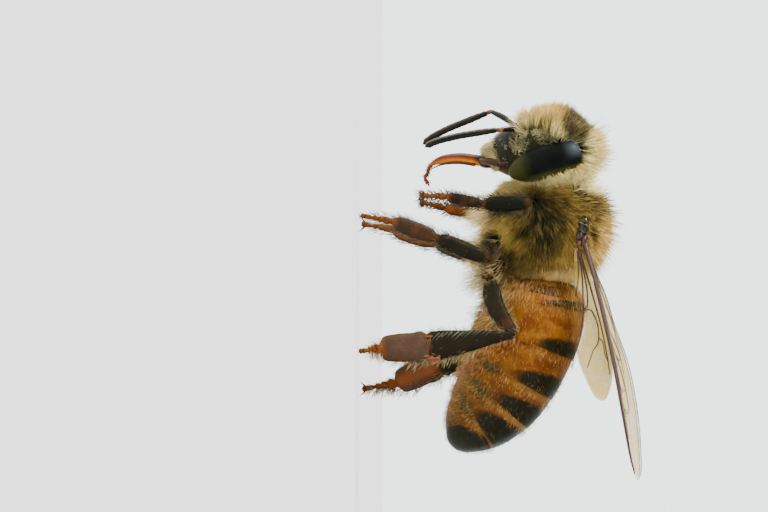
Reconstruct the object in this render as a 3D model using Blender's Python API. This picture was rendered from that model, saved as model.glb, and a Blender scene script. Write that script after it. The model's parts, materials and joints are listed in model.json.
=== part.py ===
"""A life-size worker honey bee, standing on its middle and hind feet with its tongue out and its fore feet raised.

Frame: the head faces -Y, the bee's left is +X and its back is +Z. The floor is Z = 0. Sizes are in
millimetres while the shapes are made, and each finished mesh is scaled to metres. The solids reach out to
the tips of the coat, and wings, legs and feelers are at least HALF_MILLIMETRE thick.
"""

from math import cos, pi, radians, sin

import bmesh
import bpy
from mathutils import Matrix, Vector

METRES_PER_MM = 0.001
HALF_MILLIMETRE = 0.5
GAP = 0.03                     # air between two solids that meet
SIDES = {"left": 1.0, "right": -1.0}

# Body
HEAD_CENTRE = Vector((0.0, -4.79, 6.54))
HEAD_TILT = radians(15)        # how far the mouth swings back under the head
HEAD_WIDTH = 3.75
EYE_SIZE = Vector((1.30, 1.36, 2.76))      # across, front to back, and along the head
EYE_CENTRE = Vector((1.24, 0.30, 0.08))    # in the head's own frame, on the left
THORAX_FRONT, THORAX_BACK = -3.93, -0.38
THORAX_MIDDLE = 6.74           # height of its axis
THORAX_WIDTH, THORAX_HEIGHT = 4.36, 4.84
ABDOMEN_START = Vector((0.0, -0.37, 6.52))
ABDOMEN_LENGTH = 6.94          # along its curved axis
ABDOMEN_WIDTH = 4.00
ABDOMEN_HEIGHT = 3.50
ABDOMEN_TAPER = -0.24          # it is fullest in its front half
ABDOMEN_SLOPE = radians(8)     # how it starts down, then an even bend, and a sharper one at the tip
ABDOMEN_CURL, ABDOMEN_HOOK = radians(36), radians(19)
ABDOMEN_ENDS = (0.0, 0.10, 0.20, 0.37, 0.53, 0.69, 0.86, 1.0)   # where one ring of plates gives way to the next
PLATE_STEP = 0.04              # how far each ring stands proud of the one behind it

# Wings
FOREWING_ROOT, FOREWING_TIP = Vector((1.78, -1.71, 8.27)), Vector((3.95, 6.56, 9.88))
FOREWING_CHORD, FOREWING_PITCH = 2.95, radians(7)
HINDWING_ROOT, HINDWING_TIP = Vector((1.74, -1.35, 7.80)), Vector((3.30, 4.00, 9.26))
HINDWING_CHORD, HINDWING_PITCH = 1.05, radians(-72)
WING_TIP_SWEEP = 0.34          # how far the tip lies behind the front edge, as a share of the chord

# Legs: coxa root, coxa end, knee, end of the tibia, end of the basitarsus, foot. X counts outwards.
FOOT_END = -0.25               # a planted foot runs on below the floor, which cuts its sole flat
LEGS = {
    "fore_left": [(0.60, -2.72, 5.20), (1.02, -2.88, 4.78), (2.66, -3.08, 6.12),
                  (2.68, -3.03, 4.50), (2.45, -3.30, 3.21), (2.25, -3.36, 2.24)],
    "fore_right": [(0.60, -2.72, 5.20), (1.02, -2.80, 4.78), (2.66, -2.66, 6.02),
                   (2.68, -2.66, 4.42), (2.30, -2.92, 3.16), (1.95, -3.13, 2.26)],
    "mid_left": [(0.66, -1.75, 5.15), (1.22, -1.52, 4.72), (3.08, -1.10, 4.62),
                 (3.60, -1.83, 2.82), (3.90, -2.42, 1.27), (4.12, -2.66, FOOT_END)],
    "mid_right": [(0.66, -1.75, 5.15), (1.22, -1.50, 4.72), (3.08, -1.02, 4.66),
                  (3.66, -1.66, 2.84), (4.00, -2.16, 1.28), (4.24, -2.40, FOOT_END)],
    "hind_left": [(0.70, -1.02, 5.25), (1.34, -0.62, 4.70), (2.78, 1.58, 5.56),
                  (3.40, 2.02, 2.52), (3.90, 2.08, 0.84), (4.34, 2.20, FOOT_END)],
    "hind_right": [(0.70, -1.02, 5.25), (1.34, -0.60, 4.70), (2.80, 1.78, 5.52),
                   (3.56, 2.66, 2.92), (3.98, 3.38, 1.46), (4.20, 3.66, FOOT_END)],
}
# Full width seen from the side and thickness of each joint of a leg
LEG_SIZES = {
    "fore": {"coxa": (0.80, 0.80), "femur": (0.60, 0.56), "tibia": (0.58, 0.52),
             "basitarsus": (0.52, 0.50), "tarsus": (0.50, 0.50)},
    "mid": {"coxa": (0.90, 0.86), "femur": (0.62, 0.58), "tibia": (0.66, 0.54),
            "basitarsus": (0.60, 0.50), "tarsus": (0.50, 0.50)},
    "hind": {"coxa": (0.96, 0.90), "femur": (0.66, 0.60), "tibia": (1.10, 0.56),
             "basitarsus": (1.08, 0.50), "tarsus": (0.50, 0.50)},
}
LEG_TAPER = {"hind_tibia": 0.36, "hind_femur": -0.08, "fore_tibia": 0.06, "mid_tibia": 0.14}
LEG_FULLNESS = {"coxa": 2.4, "femur": 3.0, "tibia": 3.4, "basitarsus": 3.8, "tarsus": 4.0}
LEG_PARTS = ("coxa", "femur", "tibia", "basitarsus", "tarsus")

# Feelers: socket, elbow and tip. X counts outwards.
FEELERS = {
    "left": [(0.34, -5.60, 5.84), (1.50, -5.69, 5.14), (1.90, -5.12, 2.48)],
    "right": [(0.34, -5.72, 5.80), (1.28, -6.36, 4.82), (1.50, -5.22, 2.38)],
}
FEELER_THICKNESS = HALF_MILLIMETRE
# Tongue: its base, its long tube and its drooping tip, along the middle
TONGUE = [(-4.42, 5.05), (-4.60, 3.92), (-4.44, 2.62), (-3.88, 2.68)]
TONGUE_WIDTHS = (0.86, 0.62, HALF_MILLIMETRE)
TONGUE_NAMES = ("proboscis_base", "proboscis_tube", "proboscis_tip")

COLOURS = {
    "coat": ((0.52, 0.36, 0.15), 0.9), "plates": ((0.55, 0.24, 0.05), 0.45),
    "chitin": ((0.06, 0.035, 0.02), 0.4), "eye": ((0.012, 0.012, 0.014), 0.2),
    "wing": ((0.62, 0.52, 0.34), 0.3), "tongue": ((0.36, 0.11, 0.02), 0.35),
}


def clear_scene():
    """Removes every object of the startup scene."""
    for obj in list(bpy.data.objects):
        bpy.data.objects.remove(obj)


def material(slot):
    """The named finish, made once."""
    found = bpy.data.materials.get(slot)
    if found:
        return found
    colour, roughness = COLOURS[slot]
    made = bpy.data.materials.new(slot)
    made.use_nodes = True
    shader = made.node_tree.nodes["Principled BSDF"]
    shader.inputs["Base Color"].default_value = (*colour, 1.0)
    shader.inputs["Roughness"].default_value = roughness
    return made


def object_from(name, bm, slot):
    """Turns a bmesh into a named object with its material."""
    bmesh.ops.recalc_face_normals(bm, faces=bm.faces)
    mesh = bpy.data.meshes.new(name)
    bm.to_mesh(mesh)
    bm.free()
    mesh.materials.append(material(slot))
    mesh.shade_smooth()
    mesh.set_sharp_from_angle(angle=radians(35))
    obj = bpy.data.objects.new(name, mesh)
    bpy.context.scene.collection.objects.link(obj)
    return obj


def lame(share, fullness, taper=0.0):
    """Width at a share of the length, from 0 at one end to 0 at the other. Fullness 2 is an ellipse."""
    across = abs(2 * share - 1)
    return (1 - across ** fullness) ** (1 / fullness) * (1 + taper * (2 * share - 1))


def ring_of(bm, centre, side, up, half_width, above, below, count):
    """A ring of vertices round centre, with its own reach above and below."""
    points = []
    for i in range(count):
        turn = 2 * pi * i / count
        reach = above if cos(turn) > 0 else below
        points.append(bm.verts.new(centre + side * (half_width * sin(turn)) + up * (reach * cos(turn))))
    return points


def join_rings(bm, rings, first_pole=None, last_pole=None):
    """Skins a row of rings, closing each end with a pole where one is given, or else with a flat face."""
    count = len(rings[0])
    for a, b in zip(rings, rings[1:]):
        for i in range(count):
            j = (i + 1) % count
            bm.faces.new((a[i], a[j], b[j], b[i]))
    for ring, pole in ((rings[0], first_pole), (rings[-1], last_pole)):
        if pole is None:
            bm.faces.new(ring)
            continue
        tip = bm.verts.new(pole)
        for i in range(count):
            bm.faces.new((ring[i], ring[(i + 1) % count], tip))


def spindle(name, start, end, width, depth, slot, fullness=3.0, taper=0.0, count=10, rows=6, bow=None):
    """A limb from start to end: width runs in the side view's plane, depth across it, and bow bends it."""
    start, end, bow = Vector(start), Vector(end), Vector(bow or (0, 0, 0))
    along = (end - start).normalized()
    side = (Vector((1, 0, 0)) - along * along.x).normalized()
    up = along.cross(side)
    bm = bmesh.new()
    rings = []
    for row in range(1, rows + 1):
        share = (1 - cos(pi * row / (rows + 1))) / 2
        size = lame(share, fullness, taper) / 2
        centre = start.lerp(end, share) + bow * (4 * share * (1 - share))
        rings.append(ring_of(bm, centre, side, up, depth * size, width * size, width * size, count))
    join_rings(bm, rings, start, end)
    return object_from(name, bm, slot)


def solid_ellipsoid(name, matrix, size, slot, count=20, rows=11):
    """An ellipsoid of the given full size, placed by matrix."""
    bm = bmesh.new()
    bmesh.ops.create_uvsphere(bm, u_segments=count, v_segments=rows, radius=0.5)
    bmesh.ops.transform(bm, matrix=matrix @ Matrix.Diagonal(size.to_4d()), verts=bm.verts)
    return object_from(name, bm, slot)


def cut_from(body, cutters, gap=GAP):
    """Takes the cutters' shapes, grown by the gap, out of a body."""
    for cutter in cutters:
        grown = cutter.copy()
        grown.data = cutter.data.copy()
        bpy.context.scene.collection.objects.link(grown)
        for vertex, normal in zip(grown.data.vertices, [n.vector.copy() for n in cutter.data.vertex_normals]):
            vertex.co += normal * gap
        cut = body.modifiers.new("socket", "BOOLEAN")
        cut.operation, cut.solver, cut.object = "DIFFERENCE", "EXACT", grown
        bpy.context.view_layer.update()
        evaluated = body.evaluated_get(bpy.context.evaluated_depsgraph_get())
        carved = bpy.data.meshes.new_from_object(evaluated)
        body.modifiers.clear()
        body.data = carved
        bpy.data.objects.remove(grown)
    keep_main_piece(body)


def keep_main_piece(body):
    """Drops the crumbs that a socket leaves beyond it."""
    bm = bmesh.new()
    bm.from_mesh(body.data)
    pieces, left = [], set(bm.verts)
    while left:
        piece, fresh = set(), [left.pop()]
        while fresh:
            vertex = fresh.pop()
            piece.add(vertex)
            for edge in vertex.link_edges:
                other = edge.other_vert(vertex)
                if other in left:
                    left.remove(other)
                    fresh.append(other)
        pieces.append(piece)
    pieces.sort(key=len)
    for crumb in pieces[:-1]:
        bmesh.ops.delete(bm, geom=list(crumb), context="VERTS")
    bm.to_mesh(body.data)
    bm.free()


def head_frame():
    """The head's own frame: X to its left, Y out of the back of the head and Z up to its crown."""
    return Matrix.Translation(HEAD_CENTRE) @ Matrix.Rotation(HEAD_TILT, 4, "X")


# The head's rings, from crown to lips: height, share of the head's half width, reach forwards, reach back
HEAD_RINGS = [
    (2.18, 0.30, 0.44, 0.42), (1.86, 0.62, 0.98, 0.78), (1.38, 0.85, 1.42, 1.02), (0.80, 0.96, 1.62, 1.16),
    (0.25, 0.99, 1.50, 1.22), (-0.30, 0.95, 1.24, 1.20), (-0.80, 0.82, 1.18, 1.04), (-1.25, 0.64, 1.10, 0.66),
    (-1.62, 0.46, 0.94, 0.18), (-1.88, 0.30, 0.76, -0.12),
]
HEAD_CROWN, HEAD_LIP = Vector((0.0, 0.0, 2.32)), Vector((0.0, -0.46, -1.98))


def make_head():
    """The head with its coat, from crown to lips."""
    frame = head_frame()
    bm = bmesh.new()
    rings = []
    for height, share, front, back in HEAD_RINGS:
        middle = (back - front) / 2
        reach = (back + front) / 2
        rings.append(ring_of(bm, Vector((0, middle, height)), Vector((1, 0, 0)), Vector((0, 1, 0)),
                             share * HEAD_WIDTH / 2, reach, reach, 18))
    join_rings(bm, rings, HEAD_CROWN, HEAD_LIP)
    bmesh.ops.transform(bm, matrix=frame, verts=bm.verts)
    return object_from("head", bm, "coat")


def make_eyes():
    """The two long compound eyes."""
    eyes = []
    for side, sign in SIDES.items():
        place = Vector((sign * EYE_CENTRE.x, EYE_CENTRE.y, EYE_CENTRE.z))
        matrix = head_frame() @ Matrix.Translation(place)
        eyes.append(solid_ellipsoid(f"eye_{side}", matrix, EYE_SIZE, "eye", 14, 9))
    return eyes


def outwards(point, sign):
    """A point whose X counts outwards, on the side of the given sign."""
    return Vector((sign * point[0], point[1], point[2]))


def make_feelers():
    """Each antenna's scape and its jointed flagellum."""
    feelers = []
    for side, sign in SIDES.items():
        socket, elbow, tip = [outwards(p, sign) for p in FEELERS[side]]
        thick = FEELER_THICKNESS
        scape = spindle(f"antenna_scape_{side}", socket, elbow, thick, thick, "chitin", 4.0, count=8, rows=5)
        flagellum = spindle(f"antenna_flagellum_{side}", elbow, tip, thick, thick, "chitin", 6.0,
                            count=8, rows=7, bow=(0, -0.03, 0))
        cut_from(scape, [flagellum])
        feelers += [scape, flagellum]
    return feelers


def make_mouth():
    """The mandibles and the three lengths of the tongue."""
    points = [Vector((0.0, *p)) for p in TONGUE]
    tongue = []
    for name, width, a, b in zip(TONGUE_NAMES, TONGUE_WIDTHS, points, points[1:]):
        bow = (0, -0.06, 0) if name == "proboscis_tube" else None
        tongue.append(spindle(name, a, b, width * 0.8 if name != "proboscis_tip" else width, width, "tongue",
                              3.6, -0.1, count=10, rows=6, bow=bow))
    cut_from(tongue[0], [tongue[1]])
    cut_from(tongue[1], [tongue[2]])
    jaws = []
    for side, sign in SIDES.items():
        jaws.append(spindle(f"mandible_{side}", outwards((0.86, -4.46, 5.30), sign),
                            outwards((0.42, -4.84, 4.28), sign), 0.66, HALF_MILLIMETRE, "chitin", 3.0, -0.1,
                            count=8, rows=5))
    for jaw in jaws:
        cut_from(jaw, tongue[:2])
    return jaws + tongue


def make_thorax():
    """The furry thorax, a full rounded body."""
    return spindle("thorax", (0, THORAX_FRONT, THORAX_MIDDLE), (0, THORAX_BACK, THORAX_MIDDLE),
                   THORAX_HEIGHT, THORAX_WIDTH, "coat", 3.0, count=20, rows=10)


def abdomen_heading(share):
    """How steeply the abdomen runs down at a share of its length."""
    return ABDOMEN_SLOPE + ABDOMEN_CURL * share + ABDOMEN_HOOK * share ** 7


def abdomen_axis(share, steps=48):
    """The point and the heading at a share of the abdomen's length: it curls down more and more."""
    point = ABDOMEN_START.copy()
    for i in range(steps):
        where = share * (i + 0.5) / steps
        heading = abdomen_heading(where)
        point += Vector((0, cos(heading), -sin(heading))) * (ABDOMEN_LENGTH * share / steps)
    return point, abdomen_heading(share)


def abdomen_ring(bm, share, step):
    """One ring of the abdomen's outline, standing proud by step."""
    point, heading = abdomen_axis(share)
    size = lame(share, 2.7, ABDOMEN_TAPER)
    above = ABDOMEN_HEIGHT * (0.51 - 0.07 * share ** 2)
    below = ABDOMEN_HEIGHT * 0.49
    up = Vector((0, sin(heading), cos(heading)))
    return ring_of(bm, point, Vector((1, 0, 0)), up, size * ABDOMEN_WIDTH / 2 + step,
                   size * above + step, size * below + step, 20)


def make_abdomen():
    """The rings of overlapping plates along one curling body, closed by a dome at each end."""
    plates = []
    inset = GAP / ABDOMEN_LENGTH / 2
    last = len(ABDOMEN_ENDS) - 2
    for number, (first, behind) in enumerate(zip(ABDOMEN_ENDS, ABDOMEN_ENDS[1:])):
        bm = bmesh.new()
        rings = []
        rows = 5 if number == last else 4
        for row in range(rows + 1):
            along = row / rows
            share = first + inset + (behind - first - 2 * inset) * along
            if number == 0:
                share = behind * (1 - cos(pi / 2 * (row + 0.7) / (rows + 0.7))) - inset * along
            if number == last:
                share = first + inset + (1 - first) * sin(pi / 2 * row / (rows + 0.8))
            rings.append(abdomen_ring(bm, share, 0.0 if number == last else PLATE_STEP * along ** 2))
        front = abdomen_axis(0)[0] if number == 0 else None
        back = abdomen_axis(1)[0] if number == last else None
        join_rings(bm, rings, front, back)
        plates.append(object_from(f"abdomen_{number + 1}", bm, "plates"))
    return plates


def make_neck_and_waist():
    """The short necks in front of and behind the thorax."""
    neck = spindle("neck", (0, -4.15, 6.66), (0, -3.40, 6.70), 1.3, 1.3, "chitin", 4.0, count=12, rows=5)
    waist = spindle("waist", (0, -0.95, 6.40), (0, 0.12, 6.40), 1.1, 1.3, "chitin", 4.0, count=12, rows=5)
    return neck, waist


def make_leg(leg):
    """One leg in five joints, each seated in the one above it."""
    pair, side = leg.split("_")
    points = [outwards(p, SIDES[side]) for p in LEGS[leg]]
    parts = []
    for part, a, b in zip(LEG_PARTS, points, points[1:]):
        width, depth = LEG_SIZES[pair][part]
        along = (b - a).normalized()
        reach = depth * 0.32      # neighbours reach into each other before the socket is cut
        far = b if part == "tarsus" else b + along * reach
        parts.append(spindle(f"{leg}_{part}", a - along * reach, far, width, depth, "chitin",
                             LEG_FULLNESS[part], LEG_TAPER.get(f"{pair}_{part}", 0.0),
                             count=8, rows=5 if part != "coxa" else 4))
    for upper, lower in zip(parts, parts[1:]):
        cut_from(upper, [lower])
    if pair != "fore":
        cut_sole(parts[-1])
    return parts


def cut_sole(foot):
    """Cuts a planted foot flat at the floor."""
    bm = bmesh.new()
    bm.from_mesh(foot.data)
    everything = bm.verts[:] + bm.edges[:] + bm.faces[:]
    cut = bmesh.ops.bisect_plane(bm, geom=everything, plane_co=(0, 0, 0), plane_no=(0, 0, -1), clear_outer=True)
    edges = [e for e in cut["geom_cut"] if isinstance(e, bmesh.types.BMEdge)]
    bmesh.ops.contextual_create(bm, geom=edges)
    bm.to_mesh(foot.data)
    bm.free()


def wing_width(share, blunt):
    """Share of a wing's widest chord at a share of its length."""
    return (0.16 + 0.84 * sin(pi / 2 * min(1.0, share / 0.68)) ** 1.3) * (1 - share ** blunt) ** 0.5


def make_wing(name, root, tip, chord, pitch, blunt, sign):
    """A flat wing half a millimetre thick: its front edge runs from root to tip."""
    root, tip = outwards(root, sign), outwards(tip, sign)
    along = (tip - root).normalized()
    length = (tip - root).length
    inwards = Vector((-sign * cos(pitch), 0, sin(pitch)))
    inwards = (inwards - along * inwards.dot(along)).normalized()
    normal = along.cross(inwards) * sign
    rows = 11
    outline = []
    for row in range(rows + 1):
        share = sin(pi / 2 * row / rows)
        lead = 0.10 * sin(pi * share) - WING_TIP_SWEEP * chord * share ** 9
        outline.append(root + along * (share * length) - inwards * lead)
    for row in range(rows - 1, -1, -1):
        share = sin(pi / 2 * row / rows)
        trail = wing_width(share, blunt) + WING_TIP_SWEEP * share ** 9
        outline.append(root + along * (share * length) + inwards * (chord * trail))
    bm = bmesh.new()
    faces = []
    for lift in (-HALF_MILLIMETRE / 2, HALF_MILLIMETRE / 2):
        faces.append([bm.verts.new(p + normal * lift) for p in outline])
    bm.faces.new(faces[0])
    bm.faces.new(faces[1])
    for i in range(len(outline)):
        j = (i + 1) % len(outline)
        bm.faces.new((faces[0][i], faces[0][j], faces[1][j], faces[1][i]))
    return object_from(name, bm, "wing")


def make_wings():
    """Both pairs of wings, laid back along the abdomen."""
    wings = []
    for side, sign in SIDES.items():
        wings.append(make_wing(f"forewing_{side}", FOREWING_ROOT, FOREWING_TIP, FOREWING_CHORD,
                               FOREWING_PITCH, 5, sign))
        wings.append(make_wing(f"hindwing_{side}", HINDWING_ROOT, HINDWING_TIP, HINDWING_CHORD,
                               HINDWING_PITCH, 4, sign))
    return wings


def place_on_origin(objects):
    """Scales the bee to metres and centres its box over the origin, with its soles at Z = 0."""
    corners = [v.co for obj in objects for v in obj.data.vertices]
    middle_x, middle_y = ((min(c[axis] for c in corners) + max(c[axis] for c in corners)) / 2 for axis in (0, 1))
    shift = Matrix.Translation((-middle_x, -middle_y, 0))
    for obj in objects:
        obj.data.transform(Matrix.Scale(METRES_PER_MM, 4) @ shift)


def main():
    """Builds the bee, seating each part in what carries it."""
    clear_scene()
    head, eyes, feelers, mouth = make_head(), make_eyes(), make_feelers(), make_mouth()
    thorax, plates, wings = make_thorax(), make_abdomen(), make_wings()
    neck, waist = make_neck_and_waist()
    legs = {leg: make_leg(leg) for leg in LEGS}
    for side in SIDES:
        cut_from(legs[f"hind_{side}"][0], legs[f"mid_{side}"][:2])
    for fore, hind in (wings[:2], wings[2:]):
        cut_from(hind, [fore])
    joints = [part for leg in legs.values() for part in leg[:2]]
    cut_from(head, [*eyes, *feelers[::2], *mouth[:3], neck])
    cut_from(thorax, [head, *eyes, neck, waist, *wings, *joints])
    cut_from(plates[0], [waist, *legs["hind_left"][:2], *legs["hind_right"][:2]])
    place_on_origin([obj for obj in bpy.data.objects if obj.type == "MESH"])


main()
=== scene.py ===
"""The looks of a life-size worker honey bee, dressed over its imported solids.

Everything is made in millimetres in the frame of the solids and scaled to metres as each mesh is closed. The
head faces -Y, the bee's left is +X and its back is +Z. It stands on the floor at Z = 0.
"""

from __future__ import annotations

import json
import logging
from dataclasses import dataclass, field
from enum import Enum
from math import cos, pi, radians, sin
from typing import Callable, Optional, Sequence

import bmesh
import bpy
import numpy as np
from mathutils import Matrix, Vector

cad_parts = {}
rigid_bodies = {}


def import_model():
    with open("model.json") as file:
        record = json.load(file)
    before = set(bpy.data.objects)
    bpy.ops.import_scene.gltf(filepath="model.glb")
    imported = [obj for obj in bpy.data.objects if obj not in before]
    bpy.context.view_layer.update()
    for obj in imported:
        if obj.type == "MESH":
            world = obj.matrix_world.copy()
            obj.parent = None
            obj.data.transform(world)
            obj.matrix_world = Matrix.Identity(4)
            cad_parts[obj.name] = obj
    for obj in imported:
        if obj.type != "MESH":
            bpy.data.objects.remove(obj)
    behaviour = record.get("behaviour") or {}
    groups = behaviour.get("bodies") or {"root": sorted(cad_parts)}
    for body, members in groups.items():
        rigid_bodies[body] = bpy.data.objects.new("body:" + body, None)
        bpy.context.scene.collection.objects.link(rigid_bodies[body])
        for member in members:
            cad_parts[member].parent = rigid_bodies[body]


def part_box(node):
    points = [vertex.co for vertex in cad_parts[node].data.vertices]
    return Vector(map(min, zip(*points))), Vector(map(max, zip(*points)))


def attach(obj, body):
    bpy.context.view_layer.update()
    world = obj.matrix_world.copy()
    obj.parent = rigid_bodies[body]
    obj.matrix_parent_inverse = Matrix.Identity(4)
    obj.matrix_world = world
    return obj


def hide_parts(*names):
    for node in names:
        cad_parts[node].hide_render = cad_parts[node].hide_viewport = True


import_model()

MM = 0.001
TAU = 2 * pi
LOG = logging.getLogger("bee")
Array = np.ndarray
Growth = tuple[Array, Array, Array, Array]      # what a coat's rule gives: fur, reach, lie and stand
Rule = Callable[[Array, Array], Growth]         # from places and normals
ACROSS, ALONG, UP = np.eye(3)


class Side(Enum):
    """Which side of the bee a piece is on: its value is the sign of X."""

    LEFT = 1
    RIGHT = -1

    @property
    def word(self) -> str:
        """The side's name in the names of nodes."""
        return self.name.lower()

    @property
    def out(self) -> Array:
        """The direction away from the body."""
        return self.mirror(ACROSS)

    def mirror(self, point: Sequence[float]) -> Array:
        """A place or direction of the left side, moved to this one."""
        return np.array(point, float) * (self.value, 1, 1)


class Slot(Enum):
    """The record's material slots."""

    COAT = "coat"
    PLATES = "plates"
    CHITIN = "chitin"
    EYE = "eye"
    WING = "wing"
    TONGUE = "tongue"


# ---------------------------------------------------------------- places and small sums


def unit(vectors: Array) -> Array:
    """Vectors scaled to length one, along the last axis."""
    return vectors / np.maximum(np.linalg.norm(vectors, axis=-1, keepdims=True), 1e-12)


def ease(values: Array, low: float, high: float) -> Array:
    """A smooth step from 0 at low to 1 at high."""
    share = np.clip((np.asarray(values, float) - low) / (high - low), 0, 1)
    return share * share * (3 - 2 * share)


def hump(values: Array, centre: float, width: float) -> Array:
    """A smooth hump of height one round centre."""
    return np.exp(-(((np.asarray(values, float) - centre) / width) ** 2))


def xyz(x: object, y: object, z: object) -> Array:
    """Places or directions from three numbers or arrays."""
    return np.stack(np.broadcast_arrays(x, y, z), -1)


def run_of(points: Array) -> Array:
    """How far along a line of points each of them lies."""
    return np.concatenate([[0], np.cumsum(np.linalg.norm(np.diff(points, axis=0), axis=1))])


def read_off(at: Array, values: Array, where: Array) -> Array:
    """Reads values that are given at rising stations off a smooth curve through them."""
    slope = np.gradient(values, at, axis=0)
    i = np.clip(np.searchsorted(at, where, side="right") - 1, 0, len(at) - 2)
    gap = at[i + 1] - at[i]
    t = np.clip((where - at[i]) / gap, 0, 1)
    if values.ndim > 1:
        gap, t = gap[:, None], t[:, None]
    return ((2 * t**3 - 3 * t**2 + 1) * values[i] + (t**3 - 2 * t**2 + t) * gap * slope[i]
            + (3 * t**2 - 2 * t**3) * values[i + 1] + (t**3 - t**2) * gap * slope[i + 1])


def curve_through(points: Sequence, count: int) -> Array:
    """Evenly spaced points on a smooth curve through the given ones.

    Args:
        points: Places in order, at least two.
        count: How many points to return.

    Returns:
        An array of count places.
    """
    knots = np.array([tuple(p) for p in points], float)
    if len(knots) == 2:
        return knots[0] + np.linspace(0, 1, count)[:, None] * (knots[1] - knots[0])
    at = run_of(knots)
    fine = read_off(at, knots, np.linspace(0, at[-1], 8 * count))
    run = run_of(fine)
    return xyz(*(np.interp(np.linspace(0, run[-1], count), run, line) for line in fine.T))


def stations(table: Sequence[tuple[float, float]], where: Array) -> Array:
    """Reads a size off a short table of (share, size), smoothly."""
    shares, sizes = np.array(table, float).T
    return read_off(shares, sizes, where)


class Solids:
    """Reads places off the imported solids, in millimetres."""

    @staticmethod
    def box(node: str) -> tuple[Array, Array]:
        """The lowest and highest corners of a node."""
        low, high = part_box(node)
        return np.array(low) / MM, np.array(high) / MM

    @classmethod
    def middle(cls, node: str) -> Array:
        """The centre of a node's box."""
        low, high = cls.box(node)
        return (low + high) / 2


# ---------------------------------------------------------------- meshes


def linked(name: str, data: bpy.types.ID) -> bpy.types.Object:
    """A new object in the scene."""
    made = bpy.data.objects.new(name, data)
    bpy.context.scene.collection.objects.link(made)
    return made


def numbers(items: bpy.types.bpy_prop_collection, key: str, size: int = 1, kind: type = float) -> Array:
    """One property of every item of a mesh, with size numbers each."""
    flat = np.empty(len(items) * size, kind)
    items.foreach_get(key, flat)
    return flat.reshape(-1, size) if size > 1 else flat


def carry(mesh: bpy.types.Mesh, **values: Array) -> None:
    """Gives a mesh one number per vertex under each name."""
    for key, value in values.items():
        held = mesh.attributes.get(key) or mesh.attributes.new(key, "FLOAT", "POINT")
        held.data.foreach_set("value", np.broadcast_to(value, len(mesh.vertices)).astype(np.float32))


class Shape:
    """A mesh under construction, in millimetres, with a number per vertex for each value it carries."""

    def __init__(self) -> None:
        """Starts empty."""
        self.points: list[Array] = []
        self.faces: list[tuple[int, ...]] = []
        self.values: dict[str, list[Array]] = {}
        self.count = 0

    def add(self, points: Array, faces: Sequence[Sequence[int]], **values: Array) -> None:
        """Adds points, faces that count from this batch's own first point, and values for each point."""
        for name in set(self.values) | set(values):
            held = self.values.setdefault(name, [np.zeros(self.count)] if self.count else [])
            held.append(np.broadcast_to(np.asarray(values.get(name, 0.0), float), (len(points),)).copy())
        self.points.append(np.asarray(points, float))
        self.faces += [tuple(i + self.count for i in face) for face in faces]
        self.count += len(points)

    def rings(self, grid: Array, start: Optional[Array] = None, end: Optional[Array] = None,
              **values: Array) -> None:
        """Skins a row of closed rings and closes both ends with a pole.

        Args:
            grid: Rings of points, as (ring, point, 3).
            start: The first pole, or None for the middle of the first ring.
            end: The last pole, or None for the middle of the last ring.
            values: For each name a number, one per ring, or one per point.
        """
        rows, around = grid.shape[:2]
        start = grid[0].mean(0) if start is None else start
        end = grid[-1].mean(0) if end is None else end
        points = np.concatenate([grid.reshape(-1, 3), [start, end]])
        faces = []
        for row in range(rows - 1):
            for i in range(around):
                j = (i + 1) % around
                near, far = row * around, (row + 1) * around
                faces.append((near + i, near + j, far + j, far + i))
        first, last = rows * around, rows * around + 1
        for i in range(around):
            j = (i + 1) % around
            faces.append((j, i, first))
            faces.append(((rows - 1) * around + i, (rows - 1) * around + j, last))
        spread = {}
        for name, value in values.items():
            value = np.asarray(value, float)
            full = np.broadcast_to(value[:, None] if value.ndim == 1 else value, (rows, around))
            spread[name] = np.concatenate([full.reshape(-1), [full[0].mean(), full[-1].mean()]])
        self.add(points, faces, **spread)

    def ellipsoid(self, centre: Array, axes: Array, rows: int, around: int, **values: Array) -> None:
        """Adds an ellipsoid whose half axes are the rows of axes; its poles lie on the last one."""
        turn = np.arange(around) * TAU / around
        tilt = pi * (np.arange(rows) + 1) / (rows + 1)
        grid = (centre + np.sin(tilt)[:, None, None] * (np.cos(turn)[None, :, None] * axes[0]
                + np.sin(turn)[None, :, None] * axes[1]) - np.cos(tilt)[:, None, None] * axes[2])
        self.rings(grid, centre - axes[2], centre + axes[2], **values)

    def make(self, name: str, finish: Finish, unit_size: float = MM,
             sharp: float = 50.0) -> bpy.types.Object:
        """Turns the shape into an object with its finish, faces outwards.

        Args:
            name: The piece's name.
            finish: What it is made of.
            unit_size: Metres for each unit of the shape.
            sharp: The angle in degrees above which an edge stays sharp.

        Returns:
            The linked object, at the origin.
        """
        mesh = bpy.data.meshes.new(name)
        mesh.from_pydata((np.concatenate(self.points) * unit_size).tolist(), [], self.faces)
        carry(mesh, **{key: np.concatenate(parts) for key, parts in self.values.items()})
        bm = bmesh.new()
        bm.from_mesh(mesh)
        bmesh.ops.recalc_face_normals(bm, faces=bm.faces)
        bm.to_mesh(mesh)
        bm.free()
        mesh.materials.append(finish.material())
        mesh.shade_smooth()
        mesh.set_sharp_from_angle(angle=radians(sharp))
        return linked(name, mesh)


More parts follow.
